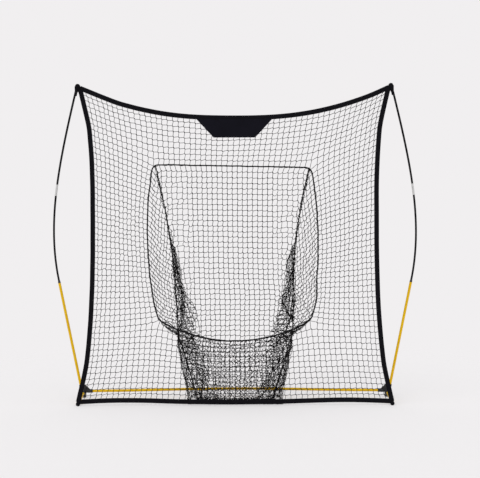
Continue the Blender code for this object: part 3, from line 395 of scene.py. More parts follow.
def mesh_object(name, points, faces, finish):
    made = bpy.data.meshes.new(name)
    made.from_pydata(np.reshape(points, (-1, 3)).tolist(), [], faces)
    made.materials.append(finish)
    made.update()
    made.shade_smooth()
    made.set_sharp_from_angle(angle=SHARP_CORNER)
    return placed(name, made)


def mapped(obj, places):
    """Gives a mesh its UV map, in metres, with a place for each corner of its faces."""
    uv = obj.data.uv_layers.get("UVMap") or obj.data.uv_layers.new(name="UVMap")
    uv.data.foreach_set("uv", np.ravel(places).astype(float))


def faces_out(obj, merge=None):
    """Turns all faces of a closed mesh outwards, after merging its doubled points."""
    bm = bmesh.new()
    bm.from_mesh(obj.data)
    if merge:
        bmesh.ops.remove_doubles(bm, verts=bm.verts, dist=merge)
    bmesh.ops.recalc_face_normals(bm, faces=bm.faces)
    bm.to_mesh(obj.data)
    bm.free()


def sweep(name, line, outline, finish, closed=False, scale=None):
    """Carries an outline of (sideways, upward) along a line, with a UV map in metres."""
    across, up = frames_along(line, closed=closed)
    outline = np.asarray(outline, float)
    scale = np.ones(len(line)) if scale is None else scale
    rings = (line[:, None] + across[:, None] * outline[None, :, :1] * scale[:, None, None]
             + up[:, None] * outline[None, :, 1:] * scale[:, None, None])
    count, sides = rings.shape[:2]
    faces = [(k * sides + a, (k + 1) % count * sides + a,
              (k + 1) % count * sides + (a + 1) % sides, k * sides + (a + 1) % sides)
             for k in range(count if closed else count - 1) for a in range(sides)]
    if not closed:
        faces.append(tuple(range(sides)))
        faces.append(tuple(reversed(range((count - 1) * sides, count * sides))))
    obj = mesh_object(name, rings, faces, finish)
    spots = np.array([loop.vertex_index for loop in obj.data.loops])
    mapped(obj, np.column_stack([distances(outline)[spots % sides],
                                 distances(line)[spots // sides]]))
    faces_out(obj)
    return obj


def circle(radius, sides):
    turns = np.linspace(0, math.tau, sides, endpoint=False)
    return np.column_stack([radius * np.cos(turns), radius * np.sin(turns)])


def settle(obj, slot, *nodes):
    """Hides the CAD nodes that a finished piece stands for. Its material slot is not used. The
    frame carries it.
    """
    if nodes:
        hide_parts(*nodes)
    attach(obj, "frame")


fibreglass = solid_finish("black_fibreglass", (0.006, 0.006, 0.007), (0.003, 0.003, 0.004), 0.45,
                          500.0, 0.00003, cloud_scale=25.0, gloss=0.12)
pale_metal = solid_finish("ferrule_metal", (0.66, 0.66, 0.65), (0.56, 0.56, 0.56), 0.34, 900.0,
                          0.00002, metallic=0.55, cloud_scale=40.0)
crimped = 1 - CRIMP_DEPTH * np.isin(np.arange(FERRULE_STATIONS), CRIMPS)
rod_line = {}
for tag in SIDES:
    for part in ("lower", "upper"):
        line = smooth_line(line_of(f"rod_{part}_{tag}", ROD_RING), ROD_STATIONS)
        rod_line[part, tag] = line
        rod = sweep(f"bow_rod_{part}_{tag}", line, circle(ROD_RADIUS, ROD_SIDES), fibreglass)
        settle(rod, "black_fibreglass", f"rod_{part}_{tag}")
    low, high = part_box(f"ferrule_{tag}")
    joint = np.vstack([rod_line["lower", tag][-8:], rod_line["upper", tag][:8]])
    joint = smooth_line(joint[::3], 200)
    held = evenly(joint[(joint[:, 2] > low.z) & (joint[:, 2] < high.z)], FERRULE_STATIONS)
    sleeve = sweep(f"bow_ferrule_{tag}", held, circle(FERRULE_RADIUS, ROD_SIDES), pale_metal,
                   scale=crimped)
    settle(sleeve, "light_ferrule", f"ferrule_{tag}")

# ---- webbing borders
# The netting's four edges are bound in black woven webbing, folded round a padded core and sewn
# with two rows of stitches.
BAND_WIDTH = 0.0326
BAND_THICK = 0.0062
BAND_IN = 0.01175
BAND_RING = 0.032
BAND_STATIONS = 240
BAND_WAVE = (0.0006, 0.0007, 0.0006)
UPPER_REACH = (0.010, 0, 0.009)
LOWER_REACH = (0.008, 0, 0)
TOP_SAG = 0.0090
TOP_BELLY = 0.0060
STITCH_PITCH = 0.0062
STITCH_LENGTH = 0.0042
STITCH_RADIUS = 0.00045
SEAM_OUT = 0.33 * BAND_WIDTH
SEAM_DEPTH = 0.35 * BAND_THICK
PINCH = 0.30
PINCH_AT = 0.66
PINCH_WIDTH = 0.10


def threads_with_painted_groove_shade(tree, inputs, uneven, tone_with_groove_shade, ends, colours, relief, depth, strength):
    """The colours and relief of threads, over the grain of their fibre. The colour factor carries
    the relief, so the grooves between threads are painted darker: painted shade.
    """
    # painted shade: colour goes from dark to light with the tone, which is lowest in the grooves
    # between threads
    feed(tree, inputs["Base Color"], between(tree, tone_with_groove_shade, *ends, *colours))
    bump = node(tree, "ShaderNodeBump", Height=relief, Distance=depth, Strength=strength,
                Normal=uneven["Normal"])
    feed(tree, inputs["Normal"], bump)


def uv_places(tree):
    place = node(tree, "ShaderNodeUVMap", {"uv_map": "UVMap"})
    return node(tree, "ShaderNodeSeparateXYZ", Vector=place).outputs


def cloth_finish(name, light, dark, weave, depth, roughness, gloss):
    """Woven cloth or webbing on a UV map in metres: two crossing sets of threads. Its colour is a
    cloudy random tone, painted darker where the threads dip as painted shade.
    """
    finish, tree, inputs, uneven = uneven_finish(
        name, cloud_scale=14.0, grain_scale=1800.0, grain_depth=0.0001, Roughness=roughness,
        Specular_IOR_Level=gloss, Sheen_Weight=0.02, Sheen_Roughness=0.5)
    place = uv_places(tree)
    waves = [maths(tree, "SINE", maths(tree, "MULTIPLY", place[axis], math.tau / weave))
             for axis in "XY"]
    crossed = maths(tree, "MULTIPLY", *waves)
    # cloudy random tone plus painted shade: darker where the crossing threads dip, lighter on their
    # crowns
    tone_with_groove_shade = maths(tree, "MULTIPLY_ADD", crossed, 0.25, uneven["Cloud"])
    threads_with_painted_groove_shade(tree, inputs, uneven, tone_with_groove_shade, (0.25, 0.8), (dark, light), crossed, depth, 0.7)
    return finish


def pillow(width, thick, steps=7):
    """Outline of a padded band, on edge: full in the middle, pinched along its rows of stitches."""
    half = width / 2
    xs = np.cos(np.linspace(0, math.pi, 4 * steps + 1)) * half
    share = np.abs(xs) / half
    body = np.sqrt(np.clip(1 - share**6, 0, 1))
    pinch = 1 - PINCH * np.exp(-((share - PINCH_AT) / PINCH_WIDTH) ** 2)
    upper = np.column_stack([thick / 2 * body * pinch, xs])
    return np.vstack([upper, -upper[1:-1]])


def finished(made, given, grown):
    """Ends a tree: real geometry, shaded smooth, in the finish that it is given."""
    real = node(made, "GeometryNodeRealizeInstances", Geometry=grown)
    smooth = node(made, "GeometryNodeSetShadeSmooth", Geometry=real)
    painted = node(made, "GeometryNodeSetMaterial", Geometry=smooth,
                   Material=given["Finish"])
    node(made, "NodeGroupOutput", Geometry=painted)
    return made


def stitch_tree():
    """Short capsule threads laid end to end along the given lines."""
    made, given = geometry_tree("stitches", Pitch="Float", Length="Float", Radius="Float",
                                Finish="Material")
    curve = node(made, "GeometryNodeMeshToCurve", Mesh=given["Geometry"])
    points = node(made, "GeometryNodeCurveToPoints", {"mode": "LENGTH"}, Curve=curve,
                  Length=given["Pitch"]).outputs
    profile = node(made, "GeometryNodeMeshUVSphere", Segments=6, Rings=4, Radius=given["Radius"])
    stretch = maths(made, "DIVIDE", given["Length"], given["Radius"])
    size = node(made, "ShaderNodeCombineXYZ", X=1.0, Y=1.0, Z=maths(made, "MULTIPLY", stretch, 0.5))
    laid = node(made, "GeometryNodeInstanceOnPoints", Points=points["Points"],
                Instance=profile.outputs["Mesh"], Rotation=points["Rotation"],
                Scale=size)
    return finished(made, given, laid)


STITCHES = stitch_tree()


def lines_object(name, lines, **attributes):
    """A mesh of loose edges, one run for each line, with attributes on its points."""
    starts = np.cumsum([0] + [len(line) for line in lines])
    edges = [(start + k, start + k + 1) for start, line in zip(starts.tolist(), lines)
             for k in range(len(line) - 1)]
    made = bpy.data.meshes.new(name)
    made.from_pydata(np.vstack(lines).tolist(), edges, [])
    for key, values in attributes.items():
        values = np.asarray(values)
        kind, field = ("FLOAT_VECTOR", "vector") if values.ndim == 2 else ("FLOAT", "value")
        made.attributes.new(key, kind, "POINT").data.foreach_set(field, values.ravel())
    return placed(name, made)


def grown(obj, tree, **sizes):
    """Replaces an object's mesh with the plain mesh that a tree makes of it."""
    step = obj.modifiers.new(tree.name, "NODES")
    step.node_group = tree
    set_sizes(step, **sizes)
    result = obj.evaluated_get(bpy.context.evaluated_depsgraph_get())
    made = bpy.data.meshes.new_from_object(result)
    obj.modifiers.clear()
    old, obj.data = obj.data, made
    bpy.data.meshes.remove(old)
    return obj


def stitched(name, lines, slot, pitch=STITCH_PITCH, length=STITCH_LENGTH, radius=STITCH_RADIUS):
    """Rows of stitches along some lines, as one piece."""
    settle(grown(lines_object(name, lines), STITCHES, Pitch=pitch, Length=length, Radius=radius,
                 Finish=thread), slot)


def drift(points, reach, seed):
    """A smooth random offset of about one for each point, which changes over a reach."""
    rng = np.random.default_rng(seed)
    points = np.nan_to_num(points)
    total = np.zeros(points.shape)
    for _ in range(6):
        way = rng.normal(size=(3, 3)) * (2.2 / reach)
        total += np.sin(points @ way + rng.uniform(0, math.tau, 3))
    return total / math.sqrt(6)


webbing = cloth_finish("black_webbing", (0.0052, 0.0048, 0.0072), (0.0024, 0.0020, 0.0036), 0.0016,
                       0.00025, 0.86, 0.09)
thread = solid_finish("black_thread", (0.022, 0.022, 0.027), (0.014, 0.014, 0.018), 0.6, 2500.0,
                      0.00005, gloss=0.2)
top_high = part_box("border_top")[1]
base_low, base_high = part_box("border_bottom")
upper_corner = np.array([top_high.x, NET_Y, top_high.z - BAND_IN]) + UPPER_REACH
lower_corner = np.array([base_high.x, NET_Y, base_low.z + BAND_WIDTH / 2]) + LOWER_REACH
MIRROR = np.array([-1, 1, 1])


def border_line(name, start, end):
    """A border's smooth middle line, between two corners of the net."""
    inner = line_of(name, BAND_RING, lambda middle: middle @ (end - start))[2:-2]
    inner[:, 1] = NET_Y
    return smooth_line(np.vstack([start, inner, end]), BAND_STATIONS)


top_border = border_line("border_top", upper_corner * MIRROR, upper_corner)
out = np.abs(top_border[:, 0]) / top_border[:, 0].max()
top_border[:, 2] -= TOP_SAG * (1 - out**4) + TOP_BELLY * np.sin(math.pi * out) ** 2
border_lines = {
    "bottom": border_line("border_bottom", lower_corner * MIRROR, lower_corner),
    "right": border_line("border_right", lower_corner, upper_corner),
    "top": top_border[::-1],
    "left": border_line("border_left", lower_corner * MIRROR, upper_corner * MIRROR)[::-1]}
for number, (key, line) in enumerate(border_lines.items()):
    shaken = line + drift(line, 0.16, 11 + number) * BAND_WAVE
    band = sweep(f"webbing_{key}", shaken, pillow(BAND_WIDTH, BAND_THICK), webbing)
    settle(band, "black_webbing", f"border_{key}")
    across, up = frames_along(shaken)
    seams = [(shaken + across * face * SEAM_DEPTH + up * SEAM_OUT * edge)[4:-4]
             for face in (-1, 1) for edge in (-1, 1)]
    stitched(f"webbing_stitches_{key}", seams, "black_webbing")

# ---- header panel
# A plain panel of blue-black woven polyester hangs from the middle of the top border. Its edges
# are turned over and stitched down, and its upper edge is sewn to the webbing.
PANEL_STEPS = (120, 36)
PANEL_THICK = 0.0016
PANEL_HEM = 0.010
HEM_STEP = 0.0006
HEM_RISE = 0.0004
PANEL_RISE = 0.006
PANEL_DROP = 0.0120
PANEL_WRINKLE = 0.0012
WRINKLE_EDGE = 0.02
PANEL_GAP = 0.0065
INSET = PANEL_HEM * 0.8
THREAD_OUT = PANEL_THICK / 2 + 0.0003
FINE_STITCH = {"pitch": 0.0042, "length": 0.0030}
panel_low, panel_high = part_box("header_panel")
panel_y = (panel_low.y + panel_high.y) / 2
panel_corners = corners_of("header_panel")
panel_foot = panel_corners[panel_corners[:, 2] < panel_low.z + 0.002, 0].max()
foot_height = panel_low.z - PANEL_DROP


def panel_point(across, down):
    """A point of the panel, across from -1 to 1 and down from 0 at the border to 1."""
    top = np.interp(across * panel_high.x, top_border[:, 0], top_border[:, 2])
    top += PANEL_RISE - BAND_WIDTH / 2
    x = across * (panel_high.x + (panel_foot - panel_high.x) * down)
    return np.array([x, panel_y, top + (foot_height - top) * down])


across = np.linspace(-1, 1, PANEL_STEPS[0] + 1)
down = np.linspace(0, 1, PANEL_STEPS[1] + 1)
panel_grid = np.array([[panel_point(a, d) for d in down] for a in across])
ripple = drift(panel_grid * (1, 1, 0.55), 0.055, 17)[..., 1]
to_side = (1 - np.abs(across))[:, None] * panel_high.x
edge = np.minimum(to_side, panel_grid[..., 2] - foot_height)
hem = 1 / (1 + np.exp((edge - PANEL_HEM) / HEM_STEP))
panel_grid[..., 1] += ripple * PANEL_WRINKLE * np.clip(edge / WRINKLE_EDGE, 0.15, 1)
panel_grid[..., 1] -= hem * HEM_RISE
count = PANEL_STEPS[1] + 1
quads = [(a * count + d, a * count + d + 1, (a + 1) * count + d + 1, (a + 1) * count + d)
         for a in range(PANEL_STEPS[0]) for d in range(PANEL_STEPS[1])]
panel_cloth = cloth_finish("navy_polyester", (0.0046, 0.0042, 0.0092), (0.0022, 0.0020, 0.0050),
                           0.0011, 0.00012, 0.7, 0.08)
panel = mesh_object("header_cloth", panel_grid, quads, panel_cloth)
spots = [loop.vertex_index for loop in panel.data.loops]
mapped(panel, panel_grid.reshape(-1, 3)[spots][:, ::2])
wall = panel.modifiers.new("two_layers", "SOLIDIFY")
wall.thickness = PANEL_THICK
wall.offset = 0
settle(panel, "header_fabric", "header_panel")
panel_height = float((panel_grid[len(across) // 2, 0] - panel_grid[len(across) // 2, -1])[2])
hem_lines = []
foot = 1 - INSET / panel_height
rim = 1 - 1.3 * INSET / panel_high.x
for face in (-1, 1):
    runs = [[panel_point(a, foot) for a in np.linspace(-0.96, 0.96, 60)]]
    runs += [[panel_point(side * rim, d) for d in np.linspace(0.1, 0.93, 40)] for side in (-1, 1)]
    hem_lines += [np.array(run) + (0, face * THREAD_OUT, 0) for run in runs]
stitched("header_stitches", hem_lines, "header_fabric", radius=0.00040, **FINE_STITCH)

# ---- knotted netting of the face
# Black twisted polyester twine, knotted at every crossing, in squares of about 37 mm. Four panels
# run from the borders to the rope of the mouth; their knots settle between their neighbours.
COLUMNS = 56
ROWS = 54
MOUTH_LEFT, MOUTH_RIGHT = 13, 43
MOUTH_LOW, MOUTH_HIGH = 13, 45
TWINE_RADIUS = 0.00175
TWINE_TWIST = 0.0075
CELL = 0.0372
FACE_CELL = 0.0318
TUCK = 0.006
BENDS = (0, 0.13, 0.38, 0.62, 0.87)
KNOT_TWIST = 0.0031
KNOT_SIZE = 1.55
MOST_BOW = 0.42
LEAST_BOW = 0.0007
SETTLING = 3000
SHAKE = (0.0030, 0.0040, 0.0030)
SCATTER = (0.0011, 0.0008, 0.0011)
GROUND_ROOM = 0.0035    # of twine that lies on the ground
HUNG_WIDTH = 1.16
HUNG_HEIGHTS = (0.55, 0.72, 0.86, 1.10, 1.45)
HUNG_LEFT = (0, -0.011, -0.011, -0.013, -0.018)
HUNG_RIGHT = (0, 0.012, -0.005, -0.013, -0.014)
HUNG_SLOPE = 0.021
SLOPE_HEIGHTS = (0.6, 1.5)
ROPE_RING = 0.0095
ROPE_STATIONS = 719

ground = cad_box[0][2] + GROUND_ROOM


def hung(points):
    """The mouth hangs a little to the left of its place, and its right side a little lower."""
    x, height = points[..., 0], points[..., 2]
    share = np.clip(x / HUNG_WIDTH + 0.5, 0, 1)
    left = np.interp(height, HUNG_HEIGHTS, HUNG_LEFT)
    right = np.interp(height, HUNG_HEIGHTS, HUNG_RIGHT)
    tilt = HUNG_SLOPE * x * np.interp(height, SLOPE_HEIGHTS, (0, 1))
    return points + np.stack([left * (1 - share) + right * share, 0 * tilt, -tilt], axis=-1)


def netting_tree():
    """Round twine along every line, and a wrapped knot at every marked point."""
    made, given = geometry_tree("knotted_twine", Twine_Radius="Float", Knot_Size="Float",
                                Finish="Material")
    radius = given["Twine Radius"]
    curve = node(made, "GeometryNodeMeshToCurve", Mesh=given["Geometry"])
    profile = node(made, "GeometryNodeCurvePrimitiveCircle", Resolution=6, Radius=radius)
    place = node(made, "GeometryNodeInputPosition")
    unit = node(made, "ShaderNodeVectorMath", {"operation": "NORMALIZE"}, Vector=place)
    marked = node(made, "GeometryNodeStoreNamedAttribute", {"data_type": "FLOAT_VECTOR"},
                  Geometry=profile, Name="around", Value=unit)
    twine = node(made, "GeometryNodeCurveToMesh", Curve=curve,
                 Profile_Curve=marked, Fill_Caps=True)
    is_knot = node(made, "GeometryNodeInputNamedAttribute", {"data_type": "FLOAT"}, Name="knot")
    chosen = node(made, "FunctionNodeCompare", A=is_knot, B=0.5)
    points = node(made, "GeometryNodeMeshToPoints", Mesh=given["Geometry"],
                  Selection=chosen)
    ring = node(made, "GeometryNodeCurvePrimitiveCircle", Resolution=8,
                Radius=maths(made, "MULTIPLY", radius, given["Knot Size"]))
    thin = node(made, "GeometryNodeCurvePrimitiveCircle", Resolution=4, Radius=radius)
    wrap = node(made, "GeometryNodeCurveToMesh", Curve=ring,
                Profile_Curve=thin)
    turn = node(made, "GeometryNodeInputNamedAttribute", {"data_type": "FLOAT_VECTOR"},
                Name="turn")
    tied = node(made, "GeometryNodeInstanceOnPoints", Points=points,
                Instance=wrap, Rotation=turn)
    both = node(made, "GeometryNodeJoinGeometry")
    feed(made, both.inputs[0], tied)
    feed(made, both.inputs[0], twine)
    return finished(made, given, both)


KNOTTED = netting_tree()


def twine_finish(name, light, dark):
    """Twisted twine: turns of yarn that follow each line, dull, a little uneven in colour, and
    painted darker in the grooves between turns: painted shade.
    """
    finish, tree, inputs, uneven = uneven_finish(
        name, cloud_scale=6.0, grain_scale=2600.0, grain_depth=0.0001, Roughness=0.82,
        Specular_IOR_Level=0.15)
    around = node(tree, "ShaderNodeAttribute", {"attribute_name": "around"}).outputs["Vector"]
    along = node(tree, "ShaderNodeAttribute", {"attribute_name": "run"}).outputs["Fac"]
    apart = node(tree, "ShaderNodeSeparateXYZ", Vector=around).outputs
    angle = maths(tree, "ARCTAN2", apart["Y"], apart["X"])
    advance = maths(tree, "MULTIPLY_ADD", along, math.tau / TWINE_TWIST, angle)
    ridge = maths(tree, "SINE", maths(tree, "MULTIPLY", advance, 3.0))
    # random cloud tone plus painted shade: darker in the grooves between the turns of yarn
    tone_with_groove_shade = maths(tree, "MULTIPLY_ADD", ridge, 0.22, uneven["Cloud"])
    threads_with_painted_groove_shade(tree, inputs, uneven, tone_with_groove_shade, (0.2, 0.8), (dark, light), ridge, 0.0004, 0.8)
    return finish


def slack_run(knots, natural, hang, stray, rng):
    """A strand through some knots. Where they are closer than its length it bulges between."""
    steps = np.array(BENDS)[:, None]
    turned_off = np.where(steps > 0, 2 * steps - 1, 0)
    parts = []
    for start, end in zip(knots, knots[1:]):
        gap = end - start
        reach = max(np.linalg.norm(gap), 0.001)
        spare = max(natural - reach, 0.0)
        bow = min(math.sqrt(0.375 * reach * spare), MOST_BOW * natural) + LEAST_BOW
        way = rng.normal(size=3) * stray + np.array(hang)
        way -= gap * (way @ gap) / reach**2
        way /= max(np.linalg.norm(way), 0.2)
        lean = np.cross((0, -1, 0), gap) * (1 if abs(gap[0]) > abs(gap[2]) else -1) / reach
        parts.append(start + gap * steps + way * bow * np.sin(math.pi * steps)
                     + lean * turned_off * KNOT_TWIST * rng.uniform(0.6, 1.4))
    return np.vstack([*parts, knots[-1:]])


def chains(grid, skip=None):
    """Every row and column of a grid of knots, cut where a strand is skipped or missing."""
    runs = []
    for axis, lines in ((0, np.swapaxes(grid, 0, 1)), (1, grid)):
        for number, line in enumerate(lines):
            run = []
            for k, knot in enumerate(line):
                missing = np.isnan(knot[0])
                if missing or (run and skip and skip(axis, number, k)):
                    runs.append(run)
                    run = []
                if not missing:
                    run.append(knot)
            runs.append(run)
    return [np.array(run) for run in runs if len(run) > 1]


def above_ground(points):
    points[:, 2] = np.maximum(points[:, 2], ground)
    return points


def knitted(name, grids, seed, *nodes, natural=CELL, hang=(0, 0, 0), stray=1.0, skip=None,
            radius=TWINE_RADIUS):
    """Netting on one or more grids of knots, each (across, up, xyz), as one piece."""
    rng = np.random.default_rng(seed)
    lines = [above_ground(slack_run(chain, natural, hang, stray, rng))
             for grid in grids for chain in chains(grid, skip)]
    knots = np.vstack([grid[~np.isnan(grid[..., 0])] for grid in grids])
    knots = above_ground(knots)
    on_lines = sum(len(line) for line in lines)
    marks = np.repeat([0.0, 1.0], [on_lines, len(knots)])
    turns = np.zeros((len(marks), 3))
    turns[on_lines:] = np.column_stack([
        rng.uniform(0.2, 1.1, len(knots)) + math.pi / 2, rng.uniform(-0.4, 0.4, len(knots)),
        rng.uniform(0.5, 1.1, len(knots)) * np.where(rng.random(len(knots)) < 0.5, 1, -1)])
    runs = np.concatenate([*[distances(line) for line in lines], np.zeros(len(knots))])
    obj = lines_object(name, lines + [knot[None] for knot in knots], knot=marks, turn=turns,
                       run=runs)
    settle(grown(obj, KNOTTED, Twine_Radius=radius, Knot_Size=KNOT_SIZE, Finish=twine),
           "black_netting", *nodes)


def inward(key, count):
    """Knots just inside a border, with an equal way between them."""
    line = border_lines[key]
    across, up = frames_along(line)
    middle = np.array([0, NET_Y, 1.1])
    return evenly(line + up * TUCK * np.sign(((middle - line) * up).sum(axis=1))[:, None], count)


twine = twine_finish("black_twine", (0.014, 0.012, 0.013), (0.007, 0.006, 0.007))
rope_middles = line_of("mouth_rope", ROPE_RING, lambda p: math.atan2(p[2] - 1.06, p[0] * 1.9))
rope_line = hung(smooth_line(rope_middles, ROPE_STATIONS + 1, closed=True)[:-1])
mouth_columns = MOUTH_RIGHT - MOUTH_LEFT
mouth_rows = MOUTH_HIGH - MOUTH_LOW


def rope_part(start, end, count):
    """Evenly spaced points on the mouth's rope between two corners, each (side, rise)."""
    first, last = (int(np.argmax(side * rope_line[:, 0] + rise * 0.9 * rope_line[:, 2]))
                   for side, rise in (start, end))
    last += ROPE_STATIONS if last < first else 0
    return evenly(rope_line[np.arange(first, last + 1) % ROPE_STATIONS], count + 1)


rope_low = rope_part((-1, -1), (1, -1), mouth_columns)
rope_right = rope_part((1, -1), (1, 1), mouth_rows)
rope_high = rope_part((1, 1), (-1, 1), mouth_columns)[::-1]
rope_left = rope_part((-1, 1), (-1, -1), mouth_rows)[::-1]

face = np.zeros((COLUMNS + 1, ROWS + 1, 3))
face[:, 0] = inward("bottom", COLUMNS + 1)
face[:, -1] = inward("top", COLUMNS + 1)[::-1]
face[-1, :] = inward("right", ROWS + 1)
face[0, :] = inward("left", ROWS + 1)[::-1]
rise = np.linspace(0, 1, ROWS + 1)[None, 1:-1, None]
face[1:-1, 1:-1] = face[1:-1, :1] * (1 - rise) + face[1:-1, -1:] * rise
held_knots = np.ones(face.shape[:2], bool)
held_knots[1:-1, 1:-1] = False
mouth_span = slice(MOUTH_LEFT, MOUTH_RIGHT + 1), slice(MOUTH_LOW, MOUTH_HIGH + 1)
held_knots[mouth_span] = True
face[mouth_span[0], MOUTH_LOW], face[mouth_span[0], MOUTH_HIGH] = rope_low, rope_high
face[MOUTH_LEFT, mouth_span[1]], face[MOUTH_RIGHT, mouth_span[1]] = rope_left, rope_right
for _ in range(SETTLING):
    mean = (face[:-2, 1:-1] + face[2:, 1:-1] + (face[1:-1, :-2] + face[1:-1, 2:])) / 4
    face[1:-1, 1:-1] = np.where(held_knots[1:-1, 1:-1, None], face[1:-1, 1:-1], mean)
shake = drift(face, 0.30, 3) * SHAKE
shake += np.random.default_rng(5).normal(size=face.shape) * SCATTER
face += np.where(held_knots[..., None], 0, shake)
behind = (np.abs(face[..., 0]) < panel_high.x + CELL / 2) & (face[..., 2] > foot_height - CELL)
face[..., 1] = np.where(behind, np.maximum(face[..., 1], panel_y + PANEL_GAP), face[..., 1])
face[MOUTH_LEFT + 1:MOUTH_RIGHT, MOUTH_LOW + 1:MOUTH_HIGH] = np.nan


def left_out(axis, number, k):
    """Whether the rope lies where a strand would, or the net above or below has it."""
    if axis == 0:
        doubled = part in ("left", "right") and number in (0, mouth_rows)
        return doubled or (number == rope_row and MOUTH_LEFT < k <= MOUTH_RIGHT)
    return number == rope_column and k > 0


for part, columns, rows, rope_row, rope_column in (
        ("upper", (0, COLUMNS), (MOUTH_HIGH, ROWS), 0, None),
        ("lower", (0, COLUMNS), (0, MOUTH_LOW), MOUTH_LOW, None),
        ("left", (0, MOUTH_LEFT), (MOUTH_LOW, MOUTH_HIGH), None, MOUTH_LEFT),
        ("right", (MOUTH_RIGHT, COLUMNS), (MOUTH_LOW, MOUTH_HIGH), None, 0)):
    piece = face[columns[0]:columns[1] + 1, rows[0]:rows[1] + 1]
    knitted(f"face_net_{part}", [piece], 20 + len(part), f"net_{part}", skip=left_out,
            natural=FACE_CELL, stray=0.6)

# ---- rope of the mouth
# A thin black braided rope runs round the mouth. The face and the pocket are laced to it, so it
# waves a little from knot to knot.
ROPE_RADIUS = 0.0046
ROPE_STRANDS = 8
ROPE_PITCH = 0.030
ROPE_WAVE = (0.0010, 0.0004, 0.0010)
LASHING_TWINE = 0.0011
LASHING_TURNS = 4.0


def braid_finish(name, light, dark):
    """Braided cord on a UV map of (turn, metres along): two crossing sets of strands. Its colour is
    painted darker in the grooves between strands and lighter on their crowns: painted shade.
    """
    finish, tree, inputs, uneven = uneven_finish(
        name, cloud_scale=30.0, grain_scale=3000.0, grain_depth=0.0001, Roughness=0.75,
        Specular_IOR_Level=0.15)
    place = uv_places(tree)
    turn = ROPE_STRANDS / 2 * math.tau
    waves = []
    for way in (1, -1):
        along = maths(tree, "MULTIPLY", place["Y"], way * turn / ROPE_PITCH)
        waves.append(maths(tree, "SINE", maths(tree, "MULTIPLY_ADD", place["X"], turn, along)))
    top = maths(tree, "MAXIMUM", *waves)
    # painted shade: colour follows the strands' relief, dark in the grooves and light on the crowns
    threads_with_painted_groove_shade(tree, inputs, uneven, top, (0.0, 1.0), (dark, light), top, 0.0005, 0.8)
    return finish


def round_cord(name, line, radius, slot, *nodes, sides=8, closed=False):
    """A braided cord whose UV map runs once around and in metres along."""
    obj = sweep(name, line, circle(radius, sides), braid, closed=closed)
    run = distances(line)
    run_all = run[-1] + np.linalg.norm(line[0] - line[-1])
    places = []
    for face in obj.data.polygons:
        spots = [obj.data.loops[loop].vertex_index for loop in face.loop_indices]
        turns = [spot % sides for spot in spots]
        rows = [spot // sides for spot in spots]
        for turn, row in zip(turns, rows):
            wrapped = closed and max(rows) - row > len(line) / 2
            turn += sides if max(turns) - turn > sides / 2 else 0
            places.append((turn / sides, run_all if wrapped else run[row]))
    mapped(obj, places)
    settle(obj, slot, *nodes)


def lashing_tree():
    """A few close turns of twine round a cord at each given point."""
    made, given = geometry_tree("lashings", Cord_Radius="Float", Twine_Radius="Float",
                                Turns="Float", Finish="Material")
    coil = node(made, "GeometryNodeCurveSpiral", Resolution=10, Rotations=given["Turns"],
                Start_Radius=given["Cord Radius"], End_Radius=given["Cord Radius"],
                Height=maths(made, "MULTIPLY", given["Turns"], given["Twine Radius"]))
    profile = node(made, "GeometryNodeCurvePrimitiveCircle", Resolution=5,
                   Radius=given["Twine Radius"])
    wrap = node(made, "GeometryNodeCurveToMesh", Curve=coil,
                Profile_Curve=profile, Fill_Caps=True)
    turn = node(made, "GeometryNodeInputNamedAttribute", {"data_type": "FLOAT_VECTOR"},
                Name="along")
    aimed = node(made, "FunctionNodeAlignRotationToVector", {"axis": "Z"},
                 Vector=turn)
    points = node(made, "GeometryNodeMeshToPoints", Mesh=given["Geometry"])
    laid = node(made, "GeometryNodeInstanceOnPoints", Points=points,
                Instance=wrap, Rotation=aimed)
    return finished(made, given, laid)


LASHINGS = lashing_tree()


def lashed(name, points, line, radius):
    """Lashings round a cord at the given points, square to its line."""
    ahead = np.gradient(line, axis=0)
    nearest = [int(np.linalg.norm(line - point, axis=1).argmin()) for point in points]
    obj = lines_object(name, [line[k][None] for k in nearest], along=ahead[nearest])
    settle(grown(obj, LASHINGS, Cord_Radius=radius + LASHING_TWINE / 2, Finish=twine,
                 Twine_Radius=LASHING_TWINE, Turns=LASHING_TURNS), "mouth_rope")


braid = braid_finish("black_braid", (0.008, 0.008, 0.009), (0.004, 0.004, 0.005))
waved = rope_line + drift(rope_line, 0.05, 31) * ROPE_WAVE
round_cord("mouth_cord", waved, ROPE_RADIUS, "mouth_rope", "mouth_rope", sides=14, closed=True)
lashed("mouth_lashings", np.vstack([rope_low, rope_right, rope_high, rope_left]), waved,
       ROPE_RADIUS)

# ---- the pocket's netting
# Behind the mouth hangs a deep bag of the same netting: a back, two sides and, below the mouth, a
# front. The back is wider than its place, so its spare squares lie in loose folds beside its seams.
# A cord gathers each seam, and a thinner one edges the front under the rope.
POCKET_ROWS = 44
BACK_PITCH = 0.0345
BACK_TWINE = 0.00195
BACK_BELLY = 0.020
BACK_SLOPE = 0.014
BACK_SLOPE_HEIGHTS = (0.5, 0.9, 1.6)
TOP_TAPER = 0.1
BACK_TOSS = 0.003
BACK_SCATTER = 0.0008
FOLD_TOSS = (0.008, 0.008, 0.007)
FOLD_SCATTER = 0.0030
CLEAN_COLUMNS = 8
CLEAN_HEIGHTS = (0.0, 0.20, 0.47, 0.57, 0.72, 0.90, 1.05, 1.15, 1.30, 1.60)
CLEAN_HALVES = (0.10, 0.16, 0.237, 0.264, 0.310, 0.358, 0.395, 0.424, 0.465, 0.51)
FOLD_PASSES = 5
FOLD_SLACK_HEIGHTS = (0.42, 0.70, 1.00)
FOLD_SLACK = (0.60, 1.40, 2.3)
FOLD_DEPTH = 0.045
FOLD_WANDER = 0.42
FOLD_IN = (0.20, 0.36)
FOLD_TAPER = 0.08
LEAST_FOLD = 0.002
SIDE_CELLS = 9
SIDE_SAG = 0.018
SIDE_WAVE = 0.004
CORNER_CELLS = 4
CORNER_DROP = (0.055, 0.085)
